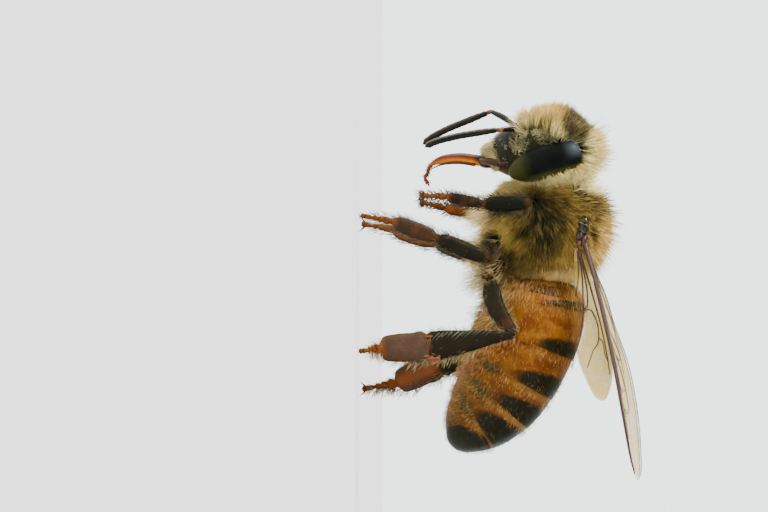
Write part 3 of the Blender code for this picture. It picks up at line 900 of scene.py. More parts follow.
@dataclass
class Trunk:
    """Head, neck, thorax and waist under one skin, and the coat that grows on it."""

    plan: Plan
    voxel: float = 0.055
    half: tuple[float, float, float] = (1.62, 1.66, 1.74)     # the thorax's skin, half sizes
    ahead: float = 0.10                                       # how far it sits before the solid's middle
    clypeus: tuple[float, float, float] = (0.88, 0.52, -0.94)  # half width, half height, middle
    nape: float = 1.55                                        # from the thorax's middle to the head's coat
    collar: float = 1.78                                      # from there to the front of the thorax's coat
    swirl: tuple[float, float, float] = (0.0, -1.08, -.50)    # the flank's whorl, from the thorax's middle
    head_rows: tuple = (     # height, half width, depth before and behind its axis
        (1.70, .75, .55, .45), (1.40, 1.20, .82, .72), (1.0, 1.44, .96, .90), (.5, 1.56, 1.04, 1.0),
        (0, 1.52, 1.08, .98), (-.5, 1.38, 1.12, .86), (-1.0, 1.10, 1.12, .62), (-1.4, .80, .92, .35),
        (-1.66, .5, .68, .12))

    def head_shape(self, shape: Shape) -> None:
        """The head as rings up its own axis, deeper in front than behind."""
        turn = np.arange(28) * TAU / 28
        rows = []
        for height, wide, front, back in self.head_rows[::-1]:
            deep = np.where(np.sin(turn) < 0, front, back)
            rows.append(xyz(wide * np.cos(turn), deep * np.sin(turn), height))
        head = self.plan.head
        shape.rings(head.world(rows), head.world((0, -.35, -1.80)), head.world((0, 0, 1.82)))
        lip = np.array([[.40, 0, 0], [0, .20, -.10], [0, .08, .26]])
        shape.ellipsoid(head.world((0, -.60, -1.66)), head.turn(lip), 8, 16)

    def build(self) -> bpy.types.Object:
        """The skin: bodies joined, made one by a voxel remesh, smoothed, and given its face."""
        shape = Shape()
        self.head_shape(shape)
        middle = self.plan.thorax - (0, self.ahead, 0)
        wide, long, high = self.half
        shape.ellipsoid(middle, np.array([[wide, 0, 0], [0, 0, high], [0, long, 0]]), 16, 28)
        neck = [self.plan.head.world((0, .55, .1)), middle + (0, -long * .6, -.05)]
        x, _, z = Solids.middle("waist")
        first, last = Solids.box("waist")
        waist = [(x, first[1], z), (x, last[1] - .05, z)]
        for line, radius in ((neck, 0.62), (waist, 0.55)):
            shape.rings(sweep(curve_through(line, 6), ACROSS, radius, radius))
        made = shape.make("skin", Skin(), unit_size=1.0)
        remesh = made.modifiers.new("one skin", "REMESH")
        remesh.mode = "VOXEL"
        remesh.voxel_size = self.voxel
        made.modifiers.new("smooth", "SMOOTH").iterations = 8
        mesh = flatten(made)
        self.face(mesh)
        mesh.shade_smooth()
        return made

    def face(self, mesh: bpy.types.Mesh) -> None:
        """Raises the clypeus and the rims of the sockets, and marks where the skin is bare or warm."""
        places = numbers(mesh.vertices, "co", 3)
        spot = self.plan.head.local(places)
        bare = self.clypeus_mask(spot)
        warm = np.zeros(len(places))
        push = -0.17 * bare
        for side in Side:
            away = self.plan.from_socket(spot, side)
            warm = np.maximum(warm, ease(away, 0.34, 0.20))
            push += -0.07 * hump(away, 0.22, 0.07) + 0.06 * ease(away, 0.2, 0.1)
        cheek = ease(spot[:, 1], .0, .35) * ease(spot[:, 2], -1.0, -1.4)
        places = places + self.plan.head.turn(xyz(0, push, 0))
        mesh.vertices.foreach_set("co", (places * MM).ravel())
        carry(mesh, bare=bare, warm=np.maximum(warm, .6 * cheek))
        mesh.update()

    def clypeus_mask(self, spot: Array) -> Array:
        """How far a place on the head is on the bare shield above the mouth, from 0 to 1."""
        wide, high, middle = self.clypeus
        out = (abs(spot[:, 0] / wide) ** 3 + abs((spot[:, 2] - middle) / high) ** 3) ** (1 / 3)
        return ease(out, 1.22, 0.98) * (spot[:, 1] < -.2)

    def head_rule(self, places: Array, _: Array, short: bool = False) -> Growth:
        """The coat of the head: bare on the clypeus, and long except for the short pile of cheeks and lip."""
        head = self.plan.head
        spot = head.local(places)
        x, y, z = spot.T
        outward = np.sign(x)
        wide = abs(x)
        crown, face, rear = ease(z, .95, 1.55), ease(y, .15, -.45), ease(y, -.15, .75)
        low = ease(z, -.5, -1.2)
        brow = face * ease(z, -.52, -.15)
        beside, lip = ease(wide, .70, 1.10), ease(z, -1.38, -1.55) * face
        cheek = np.maximum(ease(z, -.30, -.52), ease(wide, .66, .86) * ease(z, .80, .40))
        cheek = np.maximum(cheek * ease(y, .30, -.20), lip)
        reach = .50 + .24 * crown * ease(y, -.5, .1) - .08 * crown * ease(y, -.2, -.5)
        reach = reach + .24 * brow * (1 - crown)
        reach += .16 * rear * (1 - crown) * (1 - low) - .30 * low
        fur = np.clip(1.0 - .97 * self.clypeus_mask(spot), 0, 1) * (1 - .55 * crown * ease(y, -.5, .0))
        fur *= 1 - ease(y, .0, .2) * ease(z, -.95, -1.15)
        for side in Side:
            fur *= ease(self.plan.from_socket(spot, side), 0.14, 0.34)
        right, back, up = self.plan.eye
        eye = (wide - right) ** 2 / .60**2 + (y - back) ** 2 / .62**2 + (z - up) ** 2 / 1.30**2
        fur *= ease(eye, 1.02, 1.22)
        gena = ease(wide, .55, .80) * ease(z, -.72, -.92) * ease(z, -1.65, -1.45) * ease(y, -.62, -.44)
        fur *= 1 - .96 * gena
        fur *= places[:, 1] < self.plan.thorax[1] - self.nape
        fur *= 1 - .8 * ease(wide, .75, .4) * ease(y, .75, .95) * ease(z, -.9, -.5) * ease(z, .95, .6)
        upper = ease(z, -.70, .35)
        lie = xyz(outward * (.25 - .65 * beside + .3 * low), .25 * crown * rear, 2 * upper - 1.0)
        lie[:, 0] += .6 * x * crown * (1 - beside)
        lie += rear[:, None] * xyz(.9 * outward, .6, .1 - .4 * z) * (1 - crown[:, None])
        stand = .42 + .38 * crown + .10 * rear - .16 * low + .48 * brow * (1 - crown)
        if short:
            return fur * cheek, .10 + .06 * lip, head.turn(lie), .22 + .25 * lip
        return fur * (1 - cheek), reach, head.turn(lie), stand

    def fringe_rule(self, places: Array, _: Array) -> Growth:
        """Separate hairs that hang from the rear of the head over the thorax."""
        x, y, z = self.plan.head.local(places).T
        fur = ease(y, .42, .55) * ease(abs(x), .74, .92) * ease(z, -1.5, -1.2) * ease(z, 1.5, 1.2)
        fur *= places[:, 1] < self.plan.thorax[1] - self.nape
        return fur, .70 + .06 * z, self.plan.head.turn(xyz(.95 * np.sign(x), 1, .35 * z)), np.array(.12)

    def thorax_rule(self, places: Array, _: Array) -> Growth:
        """The coat of the thorax: upright on the back, running out from a dark patch on each flank."""
        middle = self.plan.thorax
        x, y, z = (places - middle).T
        back, flank = ease(z, .55, 1.45), ease(abs(x), .7, 1.3)
        away = (places - middle) - self.swirl
        away[:, 0] = 0
        tail, front = ease(y, .7, 1.7), ease(y, -.9, -1.6)
        lie = unit(away) * (1 - .8 * back)[:, None] * flank[:, None]
        lie += xyz(.15 * np.sign(x), .35, -.2)
        lie += xyz(0, 0, -.5 * ease(z, -.2, -1.4))
        reach = .73 + .04 * back - .06 * flank * (1 - back) + .10 * front * back
        reach = reach - .08 * tail * (1 - .8 * back)
        reach += .16 * tail * back
        stand = .34 + (.42 - .40 * tail) * back + .12 * ease(z, -.3, -1.3) + .10 * front
        fur = (places[:, 1] > middle[1] - self.collar) * ease(np.hypot(x, z), .25, .7)
        hinge = np.hypot((y - .10) / .46, (z - 1.34) / .30)
        fur *= 1 - .9 * ease(hinge, 1.25, .8) * (abs(x) > .6)
        return fur, reach, lie, stand

    def guard_rule(self, places: Array, normals: Array) -> Growth:
        """Single hairs that stand out of the coat on the back, the crown and behind the eyes."""
        on_head = places[:, 1] < self.plan.thorax[1] - 1.70
        head, body = self.head_rule(places, normals), self.thorax_rule(places, normals)
        fur, reach, stand = (np.where(on_head, head[k], body[k]) for k in (0, 1, 3))
        lie = np.where(on_head[:, None], head[2], body[2])
        spot = self.plan.head.local(places)
        rear = ease(spot[:, 1], -.4, .1) * ease(spot[:, 2], -.9, -.3)
        fur = fur * np.where(on_head, rear, ease(places[:, 2], 7.2, 7.8))
        return fur, reach * 1.36, lie, np.clip(stand + .15, 0, 1)

    def coat(self, coat: Coat, skin: bpy.types.Object) -> list[bpy.types.Object]:
        """Grows the coat of head and thorax."""
        head, middle = self.plan.head, self.plan.thorax
        guard = TuftStyle("guard hair", 2, 3, .0135, .3, .40, .18, seed=19)
        pile = TuftStyle("face pile", 6, 2, .030, .85, .75, .3, seed=21)
        fine = TuftStyle("fine tuft", 7, 2, .0115, .07, .20, .16, seed=9)
        strand = TuftStyle("fringe", 4, 3, .012, .16, .16, .10, seed=23)
        long = TuftStyle("long tuft")
        head_map = Unwrap(head.world([(0, .1, -1.7), (0, 0, 1.7)]), ALONG)
        thorax_map = Unwrap(middle + ALONG * [[-1.9], [1.9]], UP)
        speckled = Hair("face hair", root=.25, tip=1.35, spread=.30)
        hanging = Hair("fringe hair", (.74, .61, .25), .45, 1.3, False, .3)
        pieces = [coat.grow("coat_thorax_guard", skin.data, guard, Hair("guard hair", tip=1.5, streaks=.1),
                            thorax_map, self.guard_rule, density=130, mess=.12, seed=91),
                  coat.grow("coat_head_face", skin.data, pile, speckled, head_map,
                            lambda p, n: self.head_rule(p, n, True), density=480, mess=.3, seed=93),
                  coat.grow("coat_head_fringe", skin.data, strand, hanging, head_map, self.fringe_rule,
                            density=190, mess=.12, seed=95)]
        bright = Hair("head hair", root=.88, tip=1.42, spread=.3)
        for number in range(3):
            tuft = fine if number else long
            pieces.append(coat.grow(f"coat_head_{number + 1}", skin.data, tuft, bright, head_map,
                                    self.head_rule, density=85, mess=.16, seed=11 + number))
        for number in range(5):
            tuft = fine if number > 1 else long
            pieces.append(coat.grow(f"coat_thorax_{number + 1}", skin.data, tuft, Hair(), thorax_map,
                                    self.thorax_rule, density=54, mess=.17, seed=31 + number))
        return pieces

    def dress(self, coat: Coat) -> None:
        """Builds the skin and its coat and settles them."""
        skin = self.build()
        for piece in self.coat(coat, skin):
            settle(piece, Slot.COAT, "head" if "head" in piece.name else "thorax")
        settle(skin, Slot.COAT, "head", "neck", "thorax", "waist")


# ---------------------------------------------------------------- the eyes


@dataclass(frozen=True)
class Facets(Finish):
    """The compound eyes: black, with olive towards the mouth and at the rear rim, and a painted soft grey
    highlight at the crown end.
    """

    name: str = "compound eye"
    black: tuple = (0.0020, 0.0030, 0.0026)
    olive: tuple = (0.042, 0.040, 0.009)
    sheen: tuple = (0.048, 0.058, 0.072)     # painted highlight: a soft grey sheen at the crown end

    def sockets(self, tree: Tree) -> dict[str, object]:
        """Facets as a fine bump, and a rim and a painted highlight read off the mesh."""
        place = tree.place()
        cloud = tree.math("MULTIPLY_ADD", tree.noise(place, 3.0, 3.0), 0.35, -0.17)
        rim = tree.math("ADD", tree.value("rim"), cloud, clamp=True)
        gleam = tree.mix(tree.value("gleam"), self.black, self.sheen)
        return dict(Base_Color=tree.mix(rim, gleam, self.olive), Specular_IOR_Level=0.05,
                    Roughness=tree.step(rim, 0.1, 0.8, 0.36, 0.46),
                    Normal=tree.bump(tree.pits(place, 26.0), -0.006, 0.6))


@dataclass(frozen=True)
class Ocellus(Finish):
    """The three simple eyes on the crown."""

    name: str = "simple eye"

    def sockets(self, tree: Tree) -> dict[str, object]:
        """Near-black glass, cloudy inside."""
        cloud = tree.mix(tree.noise(tree.place(), 8.0), (0.02, 0.01, 0.006), (0.06, 0.03, 0.015))
        return dict(Base_Color=cloud, Roughness=0.1, Coat_Weight=0.8)


@dataclass
class Eyes:
    """The compound eyes and the three simple ones."""

    plan: Plan
    half: tuple[float, float, float] = (0.64, 0.66, 1.34)
    rows: int = 40
    around: int = 48

    def build(self, side: Side) -> bpy.types.Object:
        """One compound eye: an egg, blunt at the crown and narrower at the mouth, straight in front."""
        wide, deep, high = self.half
        tilt = pi * (np.arange(self.rows) + 1) / (self.rows + 1)
        turn = np.arange(self.around) * TAU / self.around
        height = -np.cos(tilt)
        blunt = .90 - .44 * ease(height, -.2, .6)
        girth = np.sin(tilt) ** blunt * (1 + .10 * height - .08 * height**2)
        x = wide * girth[:, None] * np.cos(turn)
        y = deep * girth[:, None] * np.sin(turn)
        y = np.where(y < 0, y * .94, y * 1.0) - (.09 * height + .02)[:, None] * deep
        centre, head = side.mirror(self.plan.eye), self.plan.head
        grid = head.world(xyz(x * side.value, y, (high * height)[:, None]) + centre)
        mouth, rear = ease(height, -.30, -.80)[:, None], ease(y / deep, .42, .74)
        shape = Shape()
        poles = [head.world(centre + (0, (-.02 - .06 * k) * deep, k * high)) for k in (-1, 1)]
        # painted highlight: a soft grey sheen over the upper front of the crown end
        gleam = ease(height, .48, .92)[:, None] * ease(y / deep, .35, -.25)
        shape.rings(grid, *poles, rim=np.clip(np.maximum(.75 * mouth, rear), 0, 1), gleam=gleam)
        return shape.make(f"eye_{side.word}_facets", Facets())

    def dress(self) -> None:
        """Builds and settles the eyes."""
        head = self.plan.head
        for side in Side:
            settle(self.build(side), Slot.EYE, f"eye_{side.word}")
        simple = Shape()
        for x, y, z in ((0, -.62, 1.62), (.34, -.34, 1.80), (-.34, -.34, 1.80)):
            out = unit(np.array([x * .5, -.5, 1.0]))
            axes = np.array([.13 * ACROSS, .13 * np.cross(out, ACROSS), .10 * out])
            simple.ellipsoid(head.world((x, y, z)), head.turn(axes), 8, 14)
        settle(simple.make("simple_eyes", Ocellus()), Slot.EYE, "head")


# ---------------------------------------------------------------- finishes of shell, tongue and wings


@dataclass(frozen=True)
class PlateShell(Finish):
    """The abdomen's plates: amber with dark bands that fade down the flanks."""

    name: str = "abdomen plates"
    amber: tuple = (0.150, 0.038, 0.004)
    honey: tuple = (0.27, 0.098, 0.010)
    dark: tuple = (0.0085, 0.0090, 0.003)
    brown: tuple = (0.060, 0.019, 0.002)
    olive: tuple = (0.040, 0.031, 0.006)     # patches under the belly
    tan: tuple = (0.32, 0.185, 0.045)        # the pale strip behind each dark band

    def sockets(self, tree: Tree) -> dict[str, object]:
        """Bands from the mesh's own mask with ragged edges, on cloudy amber."""
        place = tree.place()
        ragged = tree.math("MULTIPLY_ADD", tree.noise(place, 2.6, 4.0, 0.6), 0.7, -0.35)
        band = tree.math("ADD", tree.value("dark"), ragged)
        cloud = tree.noise(place, 1.5, 5.0, 0.62)
        base = tree.mix(tree.step(cloud, 0.38, 0.62), self.amber, self.honey)
        for mask, colour in ((tree.value("deep"), self.brown), (tree.value("pale"), self.tan),
                             (tree.value("patch"), self.olive), (tree.step(band, 0.02, 0.46), self.brown),
                             (tree.step(band, 0.34, 0.72), self.dark)):
            base = tree.mix(mask, base, colour)
        grain = tree.group("Shell grain", Place=place, Scale=18.0)
        return dict(Base_Color=base, Roughness=tree.wander(grain["Cloud"], 0.34, 0.50),
                    Normal=tree.bump(grain["Height"], 0.012), Specular_IOR_Level=0.07)


@dataclass(frozen=True)
class Chitin(Finish):
    """Shell of legs and feelers: one colour along a piece, another where the mesh is marked warm, and a paler
    one that is the legs' own lighter tone and, on the feelers, partly a pale down and partly a painted
    highlight along the top edge.
    """

    name: str = "chitin"
    cool: tuple = (0.022, 0.018, 0.010)
    warm: tuple = (0.36, 0.105, 0.022)
    sheen: float = 0.30          # roughness
    # the paler colour: the legs' own lighter tone, and on the feelers a pale down with a painted highlight
    # along the top edge
    dust: tuple = (0.095, 0.045, 0.028)
    shine: float = 0.22
    grain: float = 16.0
    depth: float = 0.012
    clouds: float = 0.14         # how much the warm colour wanders

    def sockets(self, tree: Tree) -> dict[str, object]:
        """Punctured shell with clouded colour."""
        grain = tree.group("Shell grain", Place=tree.place(), Scale=self.grain)
        cloud = grain["Cloud"]
        drift = tree.step(cloud, 0.25, 0.75, -self.clouds, self.clouds)
        warm = tree.math("ADD", tree.value("warm"), drift, clamp=True)
        # paler where the mesh says so: the legs' own tone, and the feelers' painted highlight along the top
        # edge
        dust_and_highlight_share = tree.math("MULTIPLY", tree.value("dust"), tree.wander(cloud, 1.1, 0.5))
        cool = tree.mix(dust_and_highlight_share, self.cool, self.dust)
        return dict(Base_Color=tree.mix(warm, cool, self.warm), Specular_IOR_Level=self.shine,
                    Roughness=tree.wander(cloud, self.sheen, self.sheen + 0.16),
                    Normal=tree.bump(grain["Height"], self.depth))


@dataclass(frozen=True)
class Amber(Finish):
    """The tongue and its sheaths: glossy orange that darkens to red-brown, with a painted yellow glow along
    the lower edge and a painted silver highlight along the upper one.
    """

    name: str = "tongue amber"
    # painted glow: the yellow of light shining through the lower edge
    yellow: tuple = (0.60, 0.23, 0.006)
    orange: tuple = (0.33, 0.055, 0.0005)
    red: tuple = (0.026, 0.0055, 0.0028)
    silver: tuple = (0.15, 0.12, 0.13)       # light caught along the upper edge

    def sockets(self, tree: Tree) -> dict[str, object]:
        """Orange with red-brown where the mesh is marked dark, a painted yellow glow of light through the
        lower edge and a painted silver highlight along the upper edge.
        """
        cloud = tree.noise(tree.place(), 6.0, 3.0)
        dark = tree.math("ADD", tree.value("dark"), tree.math("MULTIPLY_ADD", cloud, 0.5, -0.25), clamp=True)
        base = tree.mix(dark, tree.mix(tree.value("glow"), self.orange, self.yellow), self.red)
        return dict(Base_Color=tree.mix(tree.value("pale"), base, self.silver), Specular_IOR_Level=0.16,
                    Roughness=tree.wander(cloud, 0.16, 0.26), Coat_Weight=0.08, Coat_Roughness=0.1)


@dataclass(frozen=True)
class Membrane(Finish):
    """Wings: a thin tan film, brown where the mesh is marked as vein."""

    name: str = "wing film"
    film: tuple = (0.66, 0.46, 0.09)
    vein: tuple = (0.045, 0.016, 0.010)
    ember: tuple = (0.34, 0.062, 0.008)      # at the hinge
    clear: float = 0.46

    def sockets(self, tree: Tree) -> dict[str, object]:
        """See-through film with fine wrinkles and solid veins."""
        place, vein, root = tree.place(), tree.value("vein"), tree.value("root")
        film = tree.wander(tree.noise(place, 1.4, 3.0), self.clear * 0.8, self.clear * 1.3)
        film = tree.math("MAXIMUM", root, tree.math("MULTIPLY", film, tree.value("haze")))
        wrinkles = tree.noise(tree.vector("MULTIPLY", place, (9.0, 3.0, 9.0)), 1.0, 4.0, 0.6)
        return dict(Base_Color=tree.mix(vein, tree.mix(root, self.film, self.ember), self.vein),
                    Alpha=tree.math("MAXIMUM", vein, film), Roughness=tree.step(vein, 0.0, 1.0, 0.16, 0.46),
                    Normal=tree.bump(wrinkles, 0.02, 0.7), Specular_IOR_Level=0.4)


# ---------------------------------------------------------------- the abdomen


@dataclass(frozen=True)
class Band:
    """The dark marking of one back plate."""

    start: float                # share of the plate at which it begins on the back
    reach: float                # how far down the flank it goes, where 1 is half-way round
    stop: float = 1.1           # share at which it ends
    deep: float = 1.0           # how dark the marking is


@dataclass
class Abdomen:
    """Overlapping plates round a line that curls down, and the fine hair on them."""

    plan: Plan
    start_y: float = -0.45       # of the line, as a named place
    start_height: float = 6.51
    length: float = 6.66
    width: float = 4.00
    height: float = 3.50
    taper: float = -0.133
    blunt: tuple = ((3.0, 3.9), (2.4, 2.6))      # front and rear half: at the belly, on the back
    inset: float = 0.965                         # of the plates in the line's own girth
    ends: tuple = (0, .085, .135, .358, .556, .706, .848, 1)
    bands: tuple = (Band(.34, 1.25, .92, .52), Band(.12, .95, .96, .80), Band(.69, .98, .99, .86),
                    Band(.54, 1.1, 1.0, .86), Band(.40, 1.12, 1.0, .94), Band(.22, 1.14, .96),
                    Band(-.05, 1.12, 1.2))
    spots: tuple = ((.563, .034, 1.28, .20), (.714, .055, 1.26, .27), (.852, .055, 1.30, .36),
                    (.97, .05, 1.0, .3))
    rows: int = 22
    around: int = 72

    def heading(self, share: Array) -> Array:
        """How far the line points down, in radians."""
        return np.radians(8 + 35.1 * share + 45 * share**5.2)

    def line(self, share: Array) -> Array:
        """Places along the line inside the abdomen."""
        fine = np.linspace(0, 1, 801)
        turn = self.heading((fine[1:] + fine[:-1]) / 2)
        step = self.length / 800
        y = np.concatenate([[0], np.cumsum(np.cos(turn)) * step])
        z = np.concatenate([[0], -np.cumsum(np.sin(turn)) * step])
        return xyz(Solids.middle("abdomen_3")[0], Plan.shift()[1] + self.start_y + np.interp(share, fine, y),
                   self.start_height + np.interp(share, fine, z))

    def girth(self, share: Array, turn: Array) -> Array:
        """The abdomen's size along and round the line, as a share of its widest."""
        share, upper = np.clip(share, 0, 1)[:, None], .5 + .5 * np.cos(turn)[None]
        full = np.where(share < .5, *((1 - upper) * low + upper * high for low, high in self.blunt))
        full = full + .42 * upper * ease(share, .86, .97)
        return (1 - abs(2 * share - 1) ** full) ** (1 / full) * (1 + self.taper * (2 * share - 1))

    def ring(self, share: Array, turn: Array, scale: Array) -> Array:
        """Surface places; turn is 0 on the back and pi on the belly."""
        middle, dip = self.line(share), self.heading(share)
        size = self.girth(share, turn) * scale[:, None]
        over = xyz(0, np.sin(dip), np.cos(dip))
        high = np.where(np.cos(turn)[None] > 0, self.height * .547, self.height * .50)
        grid = middle[:, None] + (size * high * np.cos(turn))[:, :, None] * over[:, None]
        grid[:, :, 0] += size * self.width / 2 * np.sin(turn)
        return grid

    def marks(self, number: int, part: Array, turn: Array) -> dict[str, Array]:
        """A plate's markings, by share of the plate and turn round it."""
        band = self.bands[number]
        angle = self.from_back(turn)
        down = np.clip(angle / band.reach, 0, 1.3)[None]
        share = (self.ends[number] + part * (self.ends[number + 1] - self.ends[number]))[:, None]
        part = part[:, None]
        begin = band.start + (band.stop - band.start) * .8 * down**3.4
        mask = ease(part, begin - .14, begin + .08) * ease(part, band.stop + .05, band.stop - .06)
        mask *= 1 - .95 * ease(down, .62, 1.05)
        patch = np.zeros_like(mask)
        for at, long, low, wide in self.spots:
            patch = np.maximum(patch, 1.25 * hump(share, at, long) * hump(angle[None], low, wide))
        patch = np.clip(patch, 0, .92)
        back = ease(angle, 1.15, .35)[None]
        pale = (0 if number < 2 else .42 if number > 3 else .15) * back * ease(part, .30, .12)
        if number == 0:
            pale = .8 * ease(angle, .55, .25)[None] * ease(part, .62, .25)
            mask = hump(angle[None], .92, .36) * ease(part, .30, .50)
        deep = min(.12 * number, .55) if number > 1 else 0
        return {"dark": band.deep * mask, "patch": patch, "pale": pale * (1 - mask), "deep": deep}

    @staticmethod
    def from_back(turn: Array) -> Array:
        """How far round a place is: 0 on the back, 1 on the flank and 2 on the belly."""
        return abs((turn + pi) % TAU - pi) / (pi / 2)

    def build(self) -> bpy.types.Object:
        """All plates as one mesh: each a closed drum whose front is tucked under the plate before it."""
        shape = Shape()
        turn = np.arange(self.around) * TAU / self.around
        fold = ease(self.from_back(turn), 1.16, 1.24)
        for k, (first, last) in enumerate(zip(self.ends[:-1], self.ends[1:])):
            tip = last == self.ends[-1]
            start, end = max(first - .03, .004), .998 if tip else last
            share = np.linspace(start, end, self.rows)
            part = (share - first) / (last - first)
            scale = self.inset * (.968 + .024 * ease(part, -.25, .12) + .012 * ease(part, .1, 1))
            if not tip:
                share = np.append(share, [end + .002, end - .004])
                part = np.append(part, [1.0, 1.0])
                scale = np.append(scale, [scale[-1] * .990, scale[-1] * .970])
            centre = self.line(share)[:, None]
            grid = centre + (self.ring(share, turn, scale) - centre) * (1 - .022 * fold)[None, :, None]
            ends = self.line(np.array([start, end + (.001 if tip else -.004)]))
            shape.rings(grid, *ends, **self.marks(k, part, turn))
        return shape.make("abdomen_plates", PlateShell(), sharp=40)

    def rule(self, places: Array, normals: Array) -> Growth:
        """Fine hair lying towards the tail, longest at the waist and under the belly."""
        fine = np.linspace(0, 1, 200)
        line = self.line(fine)
        near = np.argmin(((places[:, None, 1:] - line[None, :, 1:]) ** 2).sum(-1), axis=1)
        share, dip = fine[near], self.heading(fine[near])
        lie, over = xyz(0, np.cos(dip), -np.sin(dip)), xyz(0, np.sin(dip), np.cos(dip))
        belly = ease((unit(places - line[near]) * over).sum(1), .0, -.8)
        waist = ease(share, .16, .04)
        reach = .13 + .12 * waist + .12 * belly * ease(share, .75, .3) + .03 * belly
        rim = np.zeros_like(share)
        for end in self.ends[1:-1]:
            rim = np.maximum(rim, ease(share, end - .002, end + .006) * ease(share, end + .06, end + .02))
        reach += .05 * rim
        fur = .34 + .30 * waist + .40 * belly + .45 * rim
        outer = ((places - line[near]) * normals).sum(1) > 0
        return np.clip(fur, 0, 1) * outer, reach, lie, .21 + .12 * belly + .08 * waist

    def dress(self, coat: Coat) -> None:
        """Builds and settles the plates and their hair."""
        nodes = [f"abdomen_{k}" for k in range(1, 8)]
        plates = self.build()
        laid = Unwrap(self.line(np.linspace(.01, .99, 12)), UP)
        style = TuftStyle("down", 3, 2, .028, .5, .5, .35, seed=15)
        brown = Hair("abdomen hair", (.54, .28, .080), .65, 1.3, False, .4)
        for number in range(2):
            down = coat.grow(f"coat_abdomen_{number + 1}", plates.data, style, brown, laid, self.rule,
                             density=50, mess=.12, seed=51 + number)
            settle(down, Slot.PLATES, *nodes)
        collar = TuftStyle("waist tuft", 4, 2, .018, .3, .4, seed=17)
        pale = Hair("waist hair", (.60, .43, .13), .7, 1.2, False, .2)
        waist = coat.grow("coat_waist", plates.data, collar, pale, laid, self.waist_rule,
                          density=90, mess=.16, seed=61)
        settle(waist, Slot.PLATES, nodes[0])
        settle(plates, Slot.PLATES, *nodes)

    def waist_rule(self, places: Array, normals: Array) -> Growth:
        """A pale band of hair round the front of the first plate."""
        _, _, lie, _ = self.rule(places, normals)
        away = places[:, 1] - self.line(np.array([0.0]))[0, 1]
        high = places[:, 2] - self.start_height
        band = ease(away, .42, .22) * ease(high, -1.0, -.4)
        under = ease(away, 2.3, 1.3) * ease(high, -.7, -1.2)
        outer = ((places - self.line(np.array([.08]))) * normals).sum(1) > 0
        rim = ease(away, .16, .04)
        fur = np.maximum(band, .16 * under) * outer
        return fur, .24 + .42 * under + .16 * rim, lie, .26 + .30 * under + .5 * rim


# ---------------------------------------------------------------- limbs


@dataclass
class Limb:
    """Collects jointed tubes and their lines, so that hair can follow them."""

    shape: Shape = field(default_factory=Shape)
    lines: list = field(default_factory=list)

    BARE_SOLE = (.32, .55)       # heights over which hair comes in, from none at the floor
    BELOW_KNEE = (4.6, 4.0)      # and those over which a hem does, downwards
    SQUARE = .86                 # roundness of a segment's rings

    def segment(self, ends: Sequence, flat: Array, sizes: Sequence, wide: float, thick: float,
                bow: Sequence[float] = (0, 0, 0), rows: int = 16, around: int = 18, rough: float = 0.0,
                inner: float = 0.0, down_and_painted_highlight: float = 0.0, **values: object) -> None:
        """One tapering segment between two joints.

        Args:
            ends: The two joints.
            flat: The direction in which the segment is thin.
            sizes: Stations of (share, size along the wide axis, size across it), each a share of the whole.
            wide: Full size on the wide axis.
            thick: Full size on the thin one.
            bow: How far the middle bulges.
            rows: Rings.
            around: Points in a ring.
            rough: How far rings wander, in millimetres.
            inner: How warm the face towards the body is.
            down_and_painted_highlight: How pale the front face is: partly a pale down, partly a painted
                highlight.
            values: Further values for the mesh, each a table of (share, value) or a number.
        """
        first, last = (np.array(e, float) for e in ends)
        path = curve_through([first, (first + last) / 2 + np.array(bow), last], rows)
        share = np.linspace(0, 1, rows)
        table = np.array(sizes)
        side = wide / 2 * stations(table[:, :2], share)
        up = thick / 2 * stations(table[:, [0, 2]], share)
        hint = np.cross(last - first, flat)
        grid = sweep(path, hint, side, up, around, self.SQUARE)
        if rough:
            wander = np.random.default_rng(1).normal(0, rough, grid.shape[:2])
            wander = (wander + np.roll(wander, 1, 1) + np.roll(wander, -1, 1)) / 2
            grid += wander[:, :, None] * unit(grid - path[:, None])
        given = {key: np.broadcast_to(stations(value, share) if isinstance(value, tuple) else value, (rows,))
                 for key, value in values.items()}
        if inner:
            towards = -np.sign(path[:, 0].mean()) * unit(grid - path[:, None])[:, :, 0]
            given["warm"] = np.maximum(given["warm"][:, None], inner * ease(towards, .25, .8))
        # the front face paler: partly a pale down, partly a painted highlight
        if down_and_painted_highlight:
            given["dust"] = down_and_painted_highlight * ease(-unit(grid - path[:, None])[:, :, 1], .30, .55)
        out = unit(path[0] - path[1]) * side[0] * .5, unit(path[-1] - path[-2]) * side[-1] * .5
        self.shape.rings(grid, path[0] + out[0], path[-1] + out[1], **given)
        self.lines.append(path)

    def spike(self, root: Array, tip: Array, radius: float, bend: Sequence[float] = (0, 0, 0),
              **values: float) -> None:
        """A closed thorn from root to tip."""
        root, tip = np.array(root, float), np.array(tip, float)
        path = curve_through([root, (root + tip) / 2 + np.array(bend), tip], 6)
        thick = radius * (1 - np.linspace(0, .85, 5))
        grid = sweep(path[:-1], np.array([.3, .2, .9]), thick, thick, 6)
        self.shape.rings(grid, path[0], path[-1], **values)

    def rule(self, reach: float, fringe: float, stand: float, hem: float = 0.0) -> Rule:
        """The hair of a limb, along the nearest segment.

        Args:
            reach: Its length in millimetres.
            fringe: How much longer it is on the front and rear edges.
            stand: How upright it is.
            hem: How much longer it is at the rear, past the knee.

        Returns:
            The rule for the scatter.
        """
        starts = np.concatenate([line[:-1] for line in self.lines])
        ways = unit(np.concatenate([np.diff(line, axis=0) for line in self.lines]))

        def hair(places: Array, normals: Array) -> Growth:
            """Fur, reach, lie and stand for the limb."""
            near = np.argmin(((places[:, None] - starts[None]) ** 2).sum(-1), axis=1)
            edge = abs(normals[:, 0])
            fur = (.03 + .97 * ease(edge, .80, .3)) * ease(places[:, 2], *self.BARE_SOLE)
            behind = ease(normals[:, 1], .2, .7) * ease(places[:, 2], *self.BELOW_KNEE)
            fur *= 1 - .55 * (hem > 0) * (1 - behind)
            length = reach + fringe * ease(edge, .7, .2) + hem * behind
            return fur, length, ways[near], stand + .25 * behind * (hem > 0)
        return hair


